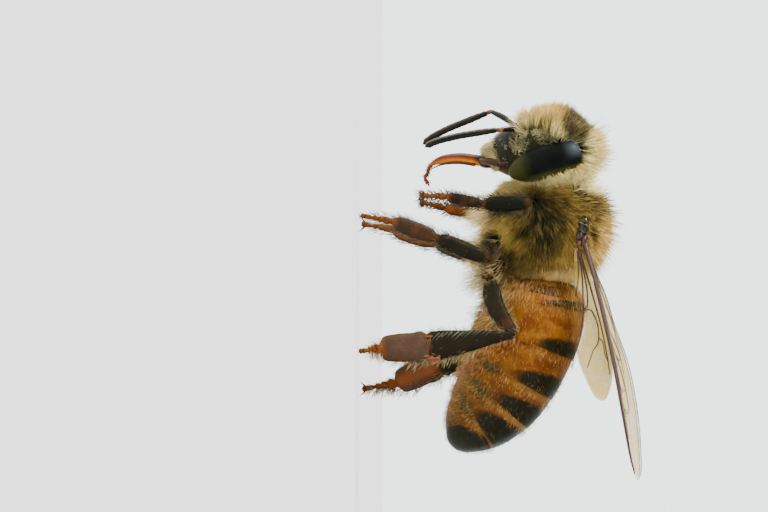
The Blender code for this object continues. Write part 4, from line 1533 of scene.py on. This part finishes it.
# Forms of segments: stations of (share, size along the wide axis, size across it)
FEMUR = ((0, .66, .7), (.15, .92, .9), (.45, 1.0, 1.0), (.8, .78, .85), (.95, .66, .7), (1, .5, .55))
SLIM = ((0, .5, .6), (.08, .72, .8), (.3, .95, 1.0), (.7, 1.0, 1.0), (.93, .82, .9), (1, .55, .6))
OVAL = ((0, .45, .5), (.10, .74, .8), (.35, .97, 1.0), (.65, 1.0, 1.0), (.92, .74, .85), (1, .45, .5))
PADDLE = ((0, .26, .60), (.06, .30, .7), (.3, .53, .9), (.6, .80, 1.0), (.9, 1.0, .95), (.97, .98, .85),
          (1, .86, .6))
SLAB = ((0, .80, .6), (.05, .96, .9), (.35, 1.0, 1.0), (.7, .95, .95), (.93, .80, .8), (.98, .70, .7),
        (1, .5, .5))
TOE = ((0, .62, .62), (.25, .74, .78), (.75, .98, 1.0), (.95, 1.0, 1.0), (1, .8, .8))


@dataclass(frozen=True)
class LegSizes:
    """How one pair of legs is made: full sizes of each segment, wide then thin, and where it is warm."""

    femur: tuple[float, float]
    tibia: tuple[float, float]
    metatarsus: tuple[float, float]
    tibia_form: tuple
    metatarsus_form: tuple
    toe: float
    warmth: tuple[float, float, float, float]     # femur, tibia, metatarsus, toes
    dust: tuple[float, float, float]              # the same, without the toes


@dataclass
class Legs:
    """Six legs, each from its hip to its claws."""

    plan: Plan

    SIZES = {
        "fore": LegSizes((.46, .42), (.56, .44), (.40, .30), OVAL, SLIM, .26, (.02, .0, .16, .66),
                         (0, 0, .1)),
        "mid": LegSizes((.52, .44), (.58, .42), (.60, .36), OVAL, OVAL, .27, (.02, .04, .12, .75),
                        (0, .10, .42)),
        "hind": LegSizes((.68, .50), (1.04, .36), (1.04, .32), PADDLE, SLAB, .42, (.0, .02, .06, .8),
                         (.14, .12, .85)),
    }
    TONES = {"fore": (.07, .055, .025), "mid": (.15, .11, .045), "hind": (.36, .27, .12)}     # of the hair
    JOINTS = {
        "fore_left": ((.60, -2.72, 5.20), (1.02, -2.88, 4.78), (2.66, -3.08, 6.12), (2.68, -3.03, 4.50),
                      (2.45, -3.30, 3.21), (2.25, -3.36, 2.24)),
        "fore_right": ((.60, -2.72, 5.20), (1.02, -2.80, 4.78), (2.66, -2.66, 6.02), (2.68, -2.66, 4.42),
                       (2.30, -2.92, 3.16), (1.95, -3.13, 2.26)),
        "mid_left": ((.66, -1.75, 5.15), (1.22, -1.52, 4.72), (3.08, -1.10, 4.62), (3.60, -1.83, 2.82),
                     (3.90, -2.42, 1.27), (4.12, -2.66, .02)),
        "mid_right": ((.66, -1.75, 5.15), (1.22, -1.50, 4.72), (3.08, -1.02, 4.66), (3.66, -1.66, 2.84),
                      (4.00, -2.16, 1.28), (4.20, -2.38, .02)),
        "hind_left": ((.70, -1.02, 5.25), (1.34, -.62, 4.58), (2.78, 1.58, 5.56), (3.40, 2.02, 2.52),
                      (3.90, 2.08, .84), (4.26, 2.18, .02)),
        "hind_right": ((.70, -1.02, 5.25), (1.34, -.60, 4.70), (2.80, 1.78, 5.52), (3.56, 2.66, 2.92),
                       (3.98, 3.38, 1.46), (4.16, 3.62, .02)),
    }

    def joints(self, leg: str, side: Side) -> list[Array]:
        """A leg's joints in the frame of the solids."""
        return [self.plan.place(joint, side) for joint in self.JOINTS[leg]]

    def build(self, pair: str, side: Side) -> Limb:
        """One leg."""
        sizes, limb = self.SIZES[pair], Limb()
        leg = f"{pair}_{side.word}"
        root, hip, knee, ankle, heel, foot = self.joints(leg, side)
        thigh, shin, sole, toes = sizes.warmth
        limb.segment((root, hip), ALONG, SLIM, .74, .70, rows=10, warm=.0)
        ring = hip + (knee - hip) * .16
        limb.segment((hip, ring), ALONG, SLIM, .44, .42, rows=8, warm=.12)
        sag = -.20 if pair == "hind" else -.05
        limb.segment((ring, knee), side.out, FEMUR, *sizes.femur, bow=(.10 * side.value, 0, sag), rough=.012,
                     dust=sizes.dust[0], warm=((0, thigh), (.88, thigh), (1, thigh + .08)))
        limb.segment((knee, ankle), side.out, sizes.tibia_form, *sizes.tibia, rows=22, dust=sizes.dust[1],
                     warm=((0, shin + .04), (.06, shin), (.96, shin + .02), (1, .32)))
        limb.segment((ankle, heel), side.out, sizes.metatarsus_form, *sizes.metatarsus, rows=18,
                     dust=sizes.dust[2], inner=.7,
                     warm=((0, .4), (.04, sole * .4), (.5, sole), (.93, sole * 1.7 + .06), (1, .8)))
        self.foot(limb, sizes, heel, foot, side, toes)
        if pair == "hind":
            self.press(limb, ankle, heel, side)
        if pair == "mid":
            tilt = unit(ankle - knee)
            limb.spike(ankle - tilt * .08, ankle + tilt * .32 + np.array([0, .22, .0]), .035, warm=.9)
        return limb

    def foot(self, limb: Limb, sizes: LegSizes, heel: Array, foot: Array, side: Side, warmth: float) -> None:
        """Four toe joints, two claws and the pad between them; a standing foot's claws are on the floor."""
        way, out, stands = foot - heel, side.out, foot[2] < 1
        total = np.linalg.norm(way)
        way = way / total
        claw_room = .13 / total if stands else 0
        ends = [heel + way * total * share * (1 - claw_room) for share in (0, .24, .42, .58, .86)]
        last = .17                       # width of the last toe joint
        for a, b, grown in zip(ends[:-1], ends[1:], (1.0, .62, .36, .10)):
            size = last + (sizes.toe - last) * grown
            limb.segment((a, b + way * .02), out, TOE, size, size * .85, rows=9, around=12, warm=warmth)
        end = ends[-1]
        across = unit(np.cross(way, out))
        for turn in (-1, 1):
            root = end + across * turn * .05
            tip = root + way * .16 + across * turn * .20 + out * .02
            if stands:
                tip = np.array([tip[0] + .06 * side.value, root[1] + turn * .24, .03])
            limb.spike(root, tip, .045, bend=way * .05 + across * turn * .06, warm=.25)
        pad = end + way * .10
        pad[2] = max(pad[2], .075)
        limb.shape.ellipsoid(pad, np.array([[.09, 0, 0], [0, .11, 0], [0, 0, .07]]), 6, 10, warm=.7)

    def press(self, limb: Limb, ankle: Array, heel: Array, side: Side) -> None:
        """The hind leg's pollen press: the rim of the tibia and the spine beside it."""
        along = unit(heel - ankle)
        wide = unit(np.cross(along, side.out)) * side.value
        out = side.out * .16
        for turn in (-1, 1):
            rim = ankle + wide * .36 * turn + out * .4
            limb.spike(rim - along * .22, rim + along * .16, .07, bend=out * .5, warm=1.0)
        low = ankle + np.array([0, .42, .06]) + out
        end = low + along * .14 + np.array([0, .06, 0])
        limb.spike(low - along * .34, end, .085, bend=out * .6, warm=1.0)

    def comb(self, leg: str, side: Side) -> Limb:
        """Stiff bristles along both edges of the fore metatarsus and the hind tibia's front edge."""
        rng = np.random.default_rng(5)
        limb, hind = Limb(), leg.startswith("hind")
        _, _, knee, ankle, heel, foot = self.joints(leg, side)
        if hind:
            rows, rise, run, thick = (((0, -1, 0), .36),), .95, .40, .020
            spans = ((knee, ankle, 40, 1),)
        else:
            rows, rise, run, thick = (((0, -1, 0), .30), ((0, 1, -.1), .34)), .62, .66, .030
            spans = ((ankle, heel, 12, 1), (heel, foot, 7, .7))
        for toward, length in rows:
            for a, b, count, short in spans:
                for share in np.linspace(.1, .98, count):
                    edge = .18 + .30 * share if hind else .16 * (.55 if short < 1 else 1)
                    root = a + (b - a) * share + np.array(toward) * edge * .92
                    root = root + np.array([rng.normal(0, .06), 0, 0])
                    size = length * rng.uniform(.75, 1.1) * short
                    tip = root + np.array(toward) * size * rise + unit(b - a) * size * run
                    limb.spike(root, tip + rng.normal(0, .03, 3), thick, warm=.5 * rng.random())
        if hind:
            self.basket(limb, knee, ankle, side, rng)
        return limb

    def basket(self, limb: Limb, knee: Array, ankle: Array, side: Side, rng: np.random.Generator) -> None:
        """Hairs that lie slanted over the outer face of the hind tibia, from its front edge, pale grey-green:
        partly their own colour, partly a painted highlight.
        """
        way, out = unit(ankle - knee), side.out
        for share in np.linspace(.24, .88, 12) + rng.normal(0, .012, 12):
            half = .52 * (.42 + .58 * share)
            root = knee + (ankle - knee) * share + np.array([0, -half * .93, 0]) + out * .07
            size = rng.uniform(.45, 1.25)
            tip = root + np.array([0, half * .62 * size, 0]) + way * .34 * size + out * .13
            limb.spike(root, tip, rng.uniform(.022, .040), bend=out * .045 + way * .03, warm=0.0,
                       dust=rng.uniform(.3, 1.0))

    def hip_rule(self, limb: Limb) -> Rule:
        """Long pale hair on the first two segments of a leg, hanging below the thorax."""
        ends = np.concatenate([limb.lines[0], limb.lines[1][:3]])

        def hair(places: Array, _: Array) -> Growth:
            """Fur, reach, lie and stand for the hip."""
            away = np.sqrt(((places[:, None] - ends[None]) ** 2).sum(-1)).min(1)
            return ease(away, .50, .38), np.array(.86), xyz(0 * away, .35, -1), np.array(.42)
        return hair

    def dress(self, coat: Coat) -> None:
        """Builds and settles the legs and their hair."""
        cool = Chitin("leg shell", (.0050, .0055, .0022), (.20, .055, .011), .40, shine=.06, grain=15.0,
                      depth=.018, clouds=.20, dust=(.082, .044, .027))
        # its paler colour, on the basket hairs, is partly their own tone and partly a painted highlight
        stiff = Chitin("leg bristles", (.012, .009, .005), (.30, .12, .03), .4, dust=(.11, .135, .09),
                       depth=.004)
        pale = Hair("hip hair", (.66, .50, .22), .4, 1.4, False, .4)
        style = TuftStyle("leg tuft", 3, 2, .038, .4, .3, .2, seed=25)
        fluff = TuftStyle("hip tuft", 6, 3, .0075, .07, .40, seed=27)
        for pair, tone in self.TONES.items():
            short = Hair(f"{pair} leg hair", tone, .6, 1.2, False, .5)
            for side in Side:
                leg = f"{pair}_{side.word}"
                nodes = [f"{leg}_{part}" for part in ("coxa", "femur", "tibia", "basitarsus", "tarsus")]
                limb = self.build(pair, side)
                made = limb.shape.make(f"leg_{leg}", cool, sharp=60)
                along = Unwrap(np.array(self.joints(leg, side)), np.array([.2, .3, .9]))
                hips = coat.grow(f"coat_hip_{leg}", made.data, fluff, pale, along, self.hip_rule(limb),
                                 density=22, mess=.2, seed=81)
                settle(hips, Slot.COAT, "thorax")
                rule = limb.rule(.11, .12, .34, .16) if pair == "hind" else limb.rule(.11, .17, .34)
                grown = coat.grow(f"coat_leg_{leg}", made.data, style, short, along, rule,
                                  density=170, mess=.16, seed=71)
                settle(grown, Slot.CHITIN, *nodes)
                settle(made, Slot.CHITIN, *nodes)
                if pair != "mid":
                    settle(self.comb(leg, side).shape.make(f"bristles_{leg}", stiff), Slot.CHITIN, *nodes)


@dataclass
class Feelers:
    """Both feelers: a long first joint, a small second, then ten rings."""

    plan: Plan
    scape: float = 0.20
    lash: float = 0.25

    PATHS = {
        Side.LEFT: ((.34, -5.62, 5.84), (.95, -5.73, 5.50), (1.50, -5.70, 5.12), (1.66, -5.60, 4.40),
                    (1.82, -5.40, 3.30), (1.88, -5.24, 2.74), (1.90, -5.10, 2.44)),
        Side.RIGHT: ((.34, -5.72, 5.80), (.86, -6.12, 5.30), (1.28, -6.38, 4.80), (1.36, -6.10, 4.10),
                     (1.46, -5.68, 3.10), (1.49, -5.44, 2.66), (1.50, -5.22, 2.38)),
    }

    def build(self, side: Side) -> Limb:
        """One feeler."""
        limb = Limb()
        points = [self.plan.place(point, side) for point in self.PATHS[side]]
        bulb = self.plan.head.world(side.mirror(self.plan.socket))
        limb.segment((bulb, points[0] + unit(points[1] - points[0]) * .05), ACROSS, SLIM, .2, .2, rows=8,
                     warm=.9)
        limb.segment((points[0], points[2]), ACROSS, ((0, .8, .8), (.2, .95, .95), (.8, 1, 1), (1, .75, .75)),
                     self.scape, self.scape, bow=points[1] - (points[0] + points[2]) / 2, rows=14, around=14,
                     down_and_painted_highlight=.45, warm=((0, .7), (.1, .08), (.93, .02), (1, .6)))
        lash = curve_through(points[2:], 120)
        limb.segment((lash[0], lash[9]), ACROSS, ((0, .7, .7), (.5, .8, .8), (1, .65, .65)), self.scape,
                     self.scape, rows=8, around=12, down_and_painted_highlight=.6, warm=((0, .8), (.5, .3), (1, .05)))
        joints = np.linspace(8, 119, 11).astype(int)
        for k in range(10):
            piece = lash[joints[k]:joints[k + 1] + 1]
            share = np.linspace(0, 1, len(piece))
            grow = .72 + .28 * min(1.0, (k + 1) / 2.5)
            fat = self.lash / 2 * grow * (.93 + .07 * np.sin(pi * share) ** .4)
            if k == 9:
                fat = fat * (1 - .55 * ease(share, .55, 1.0))
            grid = sweep(piece, ACROSS, fat, fat, 18)
            # the front face of each ring paler: partly a pale down, partly a painted highlight along the top
            # edge
            pale = ease(-unit(grid - piece[:, None])[:, :, 1], .40, .65)
            end = piece[-1] + unit(piece[-1] - piece[-2]) * .03 * (k == 9)
            limb.shape.rings(grid, piece[0], end, dust=pale)
        return limb

    def dress(self) -> None:
        """Builds and settles both feelers."""
        # its paler colour is a pale down with a painted highlight along the feelers' top edge
        black = Chitin("feeler shell", (.0045, .0045, .0022), (.36, .10, .02), .34, shine=.16, grain=30.0,
                       depth=.002, clouds=.04, dust=(.075, .078, .070))
        for side in Side:
            made = self.build(side).shape.make(f"feeler_{side.word}", black, sharp=60)
            settle(made, Slot.CHITIN, f"antenna_scape_{side.word}", f"antenna_flagellum_{side.word}")


@dataclass
class Mouth:
    """Jaws, and the tongue in its arched sheaths."""

    plan: Plan

    LINE = ((-4.50, 5.15), (-4.57, 4.70), (-4.62, 4.24), (-4.70, 3.65), (-4.69, 3.33), (-4.58, 2.87),
            (-4.43, 2.62), (-4.18, 2.53))

    JAW = ((0, .85, .9), (.2, 1.0, 1.0), (.55, .72, .8), (.85, .74, .6), (1, .45, .4))

    def line(self, count: int, shift: float = 0.0, drop: float = 0.0) -> Array:
        """The tongue's arch, moved aside and down."""
        return curve_through([self.plan.place((shift, y + drop, z)) for y, z in self.LINE], count)

    def sheaths(self) -> Shape:
        """The two blades of the sheath, the palps under them, and the stem that carries all."""
        shape = Shape()
        share = np.linspace(0, 1, 40)
        for side in (-1, 1):
            path = self.line(56, side * .085)[12:52]
            tall = .20 * stations(((0, .9), (.15, 1.0), (.5, .86), (.85, .55), (1, .12)), share)
            wide = .085 * stations(((0, .9), (.3, 1.0), (.85, .7), (1, .2)), share)
            grid = sweep(path, ACROSS, wide, tall, 16)
            rise = -(grid[:, :, 1] - path[:, None, 1]) / .17
            dark = .05 + .80 * ease(rise, -.05, .45) + .5 * ease(share, .22, .0)[:, None]
            # Along the lower edge a painted yellow glow of light shining through, along the upper edge a
            # painted silver highlight.
            shape.rings(grid, dark=np.clip(dark, 0, 1), glow=ease(rise, -.1, -.5),
                        pale=.85 * ease(rise, .55, .78))
            under = self.line(56, side * .13, .17)[18:50]
            slim = .075 * stations(((0, .9), (.5, .8), (1, .25)), np.linspace(0, 1, 32))
            shape.rings(sweep(under, ACROSS, slim, slim * .9, 10), dark=.85)
        stem = self.line(56)[0:17]
        body = np.linspace(0, 1, 17)
        wide = .27 * stations(((0, .9), (.5, 1.0), (.85, .85), (1, .6)), body)
        tall = .23 * stations(((0, .9), (.4, 1.0), (.85, .95), (1, .6)), body)
        shape.rings(sweep(stem, ACROSS, wide, tall, 20), dark=1.0)
        return shape

    def tongue(self) -> Shape:
        """The hairy tongue, ringed, with a small spoon at its tip."""
        shape = Shape()
        path = self.line(60)[34:]
        path = curve_through([*path[::4], path[-1], path[-1] + (0, .22, -.10), path[-1] + (0, .40, .02)], 70)
        share = np.linspace(0, 1, 70)
        ringed = .075 * (1 - .25 * share) * (1 + .10 * np.sin(share * TAU * 16))
        shape.rings(sweep(path, ACROSS, ringed, ringed, 12), dark=.45 + .2 * share)
        spoon = np.array([[.09, 0, 0], [0, 0, .04], [0, .08, .02]])
        shape.ellipsoid(path[-1] + (0, .03, .01), spoon, 6, 10, dark=.6)
        rng = np.random.default_rng(3)
        limb = Limb(shape)
        for at in rng.integers(6, 69, 220):
            turn = rng.uniform(0, TAU)
            way = unit(path[at] - path[at - 1])
            out = unit(np.cross(way, [cos(turn), .3 * sin(turn), sin(turn)]))
            root = path[at] + out * ringed[at] * .9
            limb.spike(root, root + out * .09 + way * .12, .009, dark=.75)
        return shape

    def jaws(self) -> Shape:
        """The jaws under the lip."""
        limb = Limb()
        for side in Side:
            ends = [self.plan.place(end, side) for end in ((.64, -4.46, 5.50), (.30, -4.62, 4.40))]
            limb.segment(ends, side.mirror((.35, -1.0, .2)), self.JAW, .44, .32, rows=18,
                         bow=side.mirror((.14, 0, -.04)), warm=((0, .2), (.4, .45), (1, .75)))
        return limb.shape

    def dress(self) -> None:
        """Builds and settles the mouth."""
        settle(self.sheaths().make("tongue_sheaths", Amber(), sharp=180), Slot.TONGUE, "proboscis_base",
               "proboscis_tube")
        settle(self.tongue().make("tongue_tip", Amber(), sharp=180), Slot.TONGUE, "proboscis_tip")
        shell = Chitin("jaw shell", (.006, .0035, .002), (.060, .015, .003), .24, grain=12.0, depth=.01)
        settle(self.jaws().make("jaws", shell, sharp=60), Slot.CHITIN, "mandible_left", "mandible_right")


# ---------------------------------------------------------------- wings


@dataclass
class Wing:
    """A wing's plan: where its front edge runs, how wide it is, and its veins.

    Veins are lines of (share along, share across, radius): 0 across is the front edge and 1 the widest chord.
    """

    plan: Plan
    root: tuple[float, float, float]
    tip: tuple[float, float, float]
    chord: float
    pitch: float                 # degrees that the film rises inwards
    blunt: float
    veins: tuple
    name: str
    sweep_back: float = 0.34
    film: float = 0.010
    arch: float = 0.17           # how far the film bows out of its plane
    pleat: float = 0.028         # and how deep its pleats are
    bulge: float = 0.10          # how far the front edge bows

    def axes(self, side: Side) -> tuple[Array, Array, Array, Array, float]:
        """Root, the two directions of the film, its normal and the length."""
        s = side.value
        root, tip = (self.plan.place((x, y, z + rise * (1 - s) / 2), side)
                     for (x, y, z), rise in ((self.root, .05), (self.tip, .14)))
        along = unit(tip - root)
        inwards = side.mirror((-cos(radians(self.pitch)), 0, sin(radians(self.pitch))))
        inwards = unit(inwards - along * (inwards @ along))
        return root, along, inwards, np.cross(along, inwards) * s, float(np.linalg.norm(tip - root))

    def edge(self, share: Array, front: bool) -> Array:
        """The front or rear edge across the film, in millimetres."""
        if front:
            return -(self.bulge * np.sin(pi * share) ** .7 - self.sweep_back * self.chord * share**9)
        wide = (.16 + .84 * np.sin(pi / 2 * np.minimum(1, share / .68)) ** 1.3)
        wide = wide * np.sqrt(np.maximum(0, 1 - share**self.blunt))
        return self.chord * (wide + self.sweep_back * share**9)

    def place(self, side: Side, share: Array, across: Array) -> Array:
        """Places on the film; it is gently pleated along its length."""
        root, along, inwards, normal, length = self.axes(side)
        share, across = np.asarray(share, float), np.asarray(across, float)
        wave = self.pleat * np.sin(across * 5.2 / self.chord * 2.9 + 1.0) * ease(share, 0, .2)
        rise = wave * ease(share, 1.05, .6) + self.arch * np.sin(pi * np.clip(share, 0, 1))
        rise = (rise - .04 * across / self.chord * ease(share, .5, .95))[..., None]
        return root + along * (share * length)[..., None] + inwards * across[..., None] + normal * rise

    def build(self, side: Side) -> bpy.types.Object:
        """The film as a closed sheet, with its veins as tubes in it."""
        normal = self.axes(side)[3]
        rows, columns = 46, 16
        share = np.sin(pi / 2 * np.linspace(0, 1, rows))
        t = np.linspace(0, 1, columns)
        front, rear = self.edge(share, True), self.edge(share, False)
        across = front[:, None] + (rear - front)[:, None] * t
        middle = self.place(side, np.broadcast_to(share[:, None], across.shape), across)
        lift = self.film * (1 - .9 * abs(2 * t - 1) ** 8)
        top, low = (middle + normal * k * lift[None, :, None] for k in (1, -1))
        loop = np.concatenate([top, low[:, ::-1]], axis=1)
        shape = Shape()
        back = Abdomen(self.plan).ring(np.linspace(.02, .9, 40), np.zeros(1), np.ones(40))[:, 0]
        above = loop[:, :, 2] - np.interp(loop[:, :, 1], back[:, 1], back[:, 2])
        shape.rings(loop, root=.8 * ease(share, .11, .02),
                    haze=(.05 + .95 * ease(above, -.10, .04)) * (.35 + .65 * ease(share, .10, .26))[:, None])
        for line in self.veins:
            share, over, thick = curve_through(line, 8 * len(line)).T
            hold = np.clip(over * self.chord, self.edge(share, True) + .01, self.edge(share, False) - .01)
            thick = thick + .005
            shape.rings(sweep(self.place(side, share, hold), normal, thick, thick, 8), vein=1.0)
        if self.name == "forewing":
            rim = np.linspace(.03, .998, 60)
            places = self.place(side, rim, self.edge(rim, False) - .004)
            shape.rings(sweep(places, normal, .015, .015, 6), vein=np.linspace(1, .7, 60))
        return shape.make(f"{self.name}_{side.word}_film", Membrane(), sharp=60)


FORE_VEINS = (
    ((0, -.01, .085), (.04, -.02, .075), (.15, -.022, .066), (.45, -.030, .060), (.75, -.015, .048),
     (.93, .12, .032), (.985, .28, .016)),
    ((.01, .03, .05), (.15, .018, .045), (.40, .010, .040), (.60, .008, .045), (.67, .015, .030)),
    ((.0, .07, .045), (.10, .12, .028), (.22, .18, .024), (.36, .25, .022)),
    ((.36, .25, .02), (.40, .17, .02), (.44, .05, .02)),
    ((.56, .03, .018), (.61, .12, .018), (.66, .19, .018), (.73, .22, .018), (.80, .20, .018),
     (.90, .12, .018)),
    ((.44, .06, .018), (.50, .15, .018), (.57, .19, .018), (.66, .20, .016)),
    ((.40, .18, .018), (.47, .30, .018), (.55, .40, .018), (.63, .46, .016), (.70, .49, .012)),
    ((.50, .16, .016), (.52, .24, .016), (.50, .34, .016)),
    ((.61, .20, .016), (.63, .30, .016), (.61, .43, .016)),
    ((.70, .22, .016), (.72, .34, .016), (.70, .48, .014)),
    ((.36, .25, .018), (.42, .40, .018), (.47, .50, .016), (.56, .60, .012)),
    ((.47, .30, .016), (.49, .40, .016), (.46, .50, .016)),
    ((0, .10, .035), (.12, .24, .024), (.28, .42, .02), (.42, .56, .016), (.52, .66, .012)),
)
HIND_VEINS = (
    ((0, .01, .045), (.10, .00, .038), (.30, -.02, .030), (.60, -.03, .022), (.85, .04, .014)),
    ((.02, .02, .03), (.14, .05, .026), (.29, .12, .022), (.36, .19, .02), (.39, .37, .02)),
    ((.02, .05, .03), (.14, .11, .022), (.265, .22, .02), (.39, .37, .02), (.467, .50, .018),
     (.556, .67, .013)),
    ((.02, .08, .028), (.13, .18, .022), (.29, .49, .016)),
    ((.39, .37, .018), (.444, .09, .018), (.512, .06, .018), (.59, .12, .018), (.67, .41, .016),
     (.76, .66, .012)),
    ((.59, .12, .018), (.637, .03, .016), (.705, .05, .016), (.77, .0, .012)),
)


@dataclass
class Wings:
    """Both pairs of wings and what they hinge on."""

    plan: Plan

    def build(self) -> list[Wing]:
        """The plans of the two pairs."""
        fore = Wing(self.plan, (1.78, -1.65, 8.11), (3.93, 6.50, 9.70), 2.82, 10.5, 5, FORE_VEINS, "forewing")
        hind = Wing(self.plan, (1.74, -1.50, 7.90), (3.26, 3.80, 9.20), 1.20, -72, 4, HIND_VEINS, "hindwing",
                    bulge=.22)
        return [fore, hind]

    def hinges(self, side: Side) -> Shape:
        """The shield over the hinge and the small plates behind it."""
        shape = Shape()
        lumps = ((1.62, -2.26, 8.06, .20, .37, .22, .0), (1.76, -1.92, 7.92, .12, .15, .15, .08),
                 (1.70, -1.84, 8.12, .12, .14, .11, .05), (1.72, -1.66, 7.92, .12, .12, .11, .45),
                 (1.78, -1.72, 8.08, .11, .20, .10, .12))
        for x, y, z, wide, long, high, warm in lumps:
            axes = np.array([[wide, 0, .0], [0, .0, high], [0, long, -.12 * long]])
            shape.ellipsoid(self.plan.place((x, y, z), side), axes, 12, 18, warm=warm)
        return shape

    def dress(self) -> None:
        """Builds and settles the wings."""
        dark = Chitin("hinge shell", (.005, .005, .006), (.26, .07, .02), .20, shine=.4, grain=9.0,
                      depth=.008)
        for side in Side:
            for wing in self.build():
                settle(wing.build(side), Slot.WING, f"{wing.name}_{side.word}")
            settle(self.hinges(side).make(f"hinge_{side.word}", dark), Slot.CHITIN, "thorax")


# ---------------------------------------------------------------- the stage


@dataclass(frozen=True)
class Paper(Finish):
    """A plain pale floor."""

    name: str = "pale floor"
    colour: tuple = (0.94, 0.97, 0.965)

    def sockets(self, _: Tree) -> dict[str, object]:
        """Matt, with no shine at the low angle it is seen from."""
        return dict(Base_Color=self.colour, Roughness=1.0, Specular_IOR_Level=0.0)


@dataclass
class Stage:
    """Floor, light and camera."""

    floor: float = 3.0                                     # half size in metres, twice that behind the bee
    key: tuple[float, float, float] = (0.38, -1.0, 0.78)   # where each light comes from
    fill: tuple[float, float, float] = (0.75, 0.65, 0.45)
    rim: tuple[float, float, float] = (-0.75, -0.85, 0.50)
    middle: tuple[float, float] = (-1.336, 0.964)          # what the camera looks at: Y and Z, millimetres
    field_width: float = 27.43
    distance: float = 450.0

    def sun(self, name: str, way: tuple, strength: float, angle: float, colour: tuple) -> None:
        """A soft distant light from a direction."""
        light = bpy.data.lights.new(name, "SUN")
        light.energy = strength
        light.angle = radians(angle)
        light.color = colour
        linked(name, light).rotation_euler = Vector(way).to_track_quat("Z", "Y").to_euler()

    def build(self) -> None:
        """Sets up the stage."""
        mesh = bpy.data.meshes.new("floor")
        s = self.floor
        mesh.from_pydata([(-2 * s, -s, 0), (s, -s, 0), (s, s, 0), (-2 * s, s, 0)], [], [(0, 1, 2, 3)])
        mesh.materials.append(Paper().material())
        ground = linked("floor", mesh)
        world = bpy.data.worlds.new("studio")
        bpy.context.scene.world = world
        world.use_nodes = True
        tree = Tree(world.node_tree)
        split = tree.split(tree.node("ShaderNodeTexCoord").outputs["Generated"])
        room = tree.mix(tree.step(split["Y"], 0.2, -0.9), (0.42, 0.44, 0.45), (1.10, 1.12, 1.12))
        room = tree.mix(tree.step(split["X"], 0.15, 0.80), room, (0.20, 0.21, 0.22))
        colour = tree.mix(tree.step(split["X"], -0.55, -0.90), room, (2.75, 3.05, 3.05))
        colour = tree.mix(tree.step(split["Z"], 0.25, 0.8), colour, (0.62, 0.64, 0.66))
        tree.feed(world.node_tree.nodes["Background"].inputs["Color"], colour)
        self.sun("key", self.key, 5.9, 18, (1.0, 0.975, 0.89))
        self.sun("fill", self.fill, 1.1, 50, (0.96, 0.98, 1.0))
        self.sun("rim", self.rim, 4.2, 14, (1.0, 0.98, 0.95))
        lens = bpy.data.cameras.new("camera")
        lens.sensor_width = 36.0
        lens.lens = 36.0 * self.distance / self.field_width
        lens.clip_start = 0.001
        camera = linked("camera", lens)
        right, up, back = Vector((0, 0, 1)), Vector((0, -1, 0)), Vector((1, 0, 0))
        turn = Matrix((right, up, back)).transposed().to_4x4()
        camera.matrix_world = Matrix.Translation(Vector((self.distance, *self.middle)) * MM) @ turn
        bpy.context.scene.camera = camera


def main() -> None:
    """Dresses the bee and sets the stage."""
    logging.basicConfig(level=logging.INFO, format="%(message)s")
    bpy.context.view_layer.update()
    plan, coat = Plan(), Coat()
    Trunk(plan).dress(coat)
    Eyes(plan).dress()
    Abdomen(plan).dress(coat)
    Legs(plan).dress(coat)
    Feelers(plan).dress()
    Mouth(plan).dress()
    Wings(plan).dress()
    coat.clear()
    Stage().build()


if __name__ == "__main__":
    main()
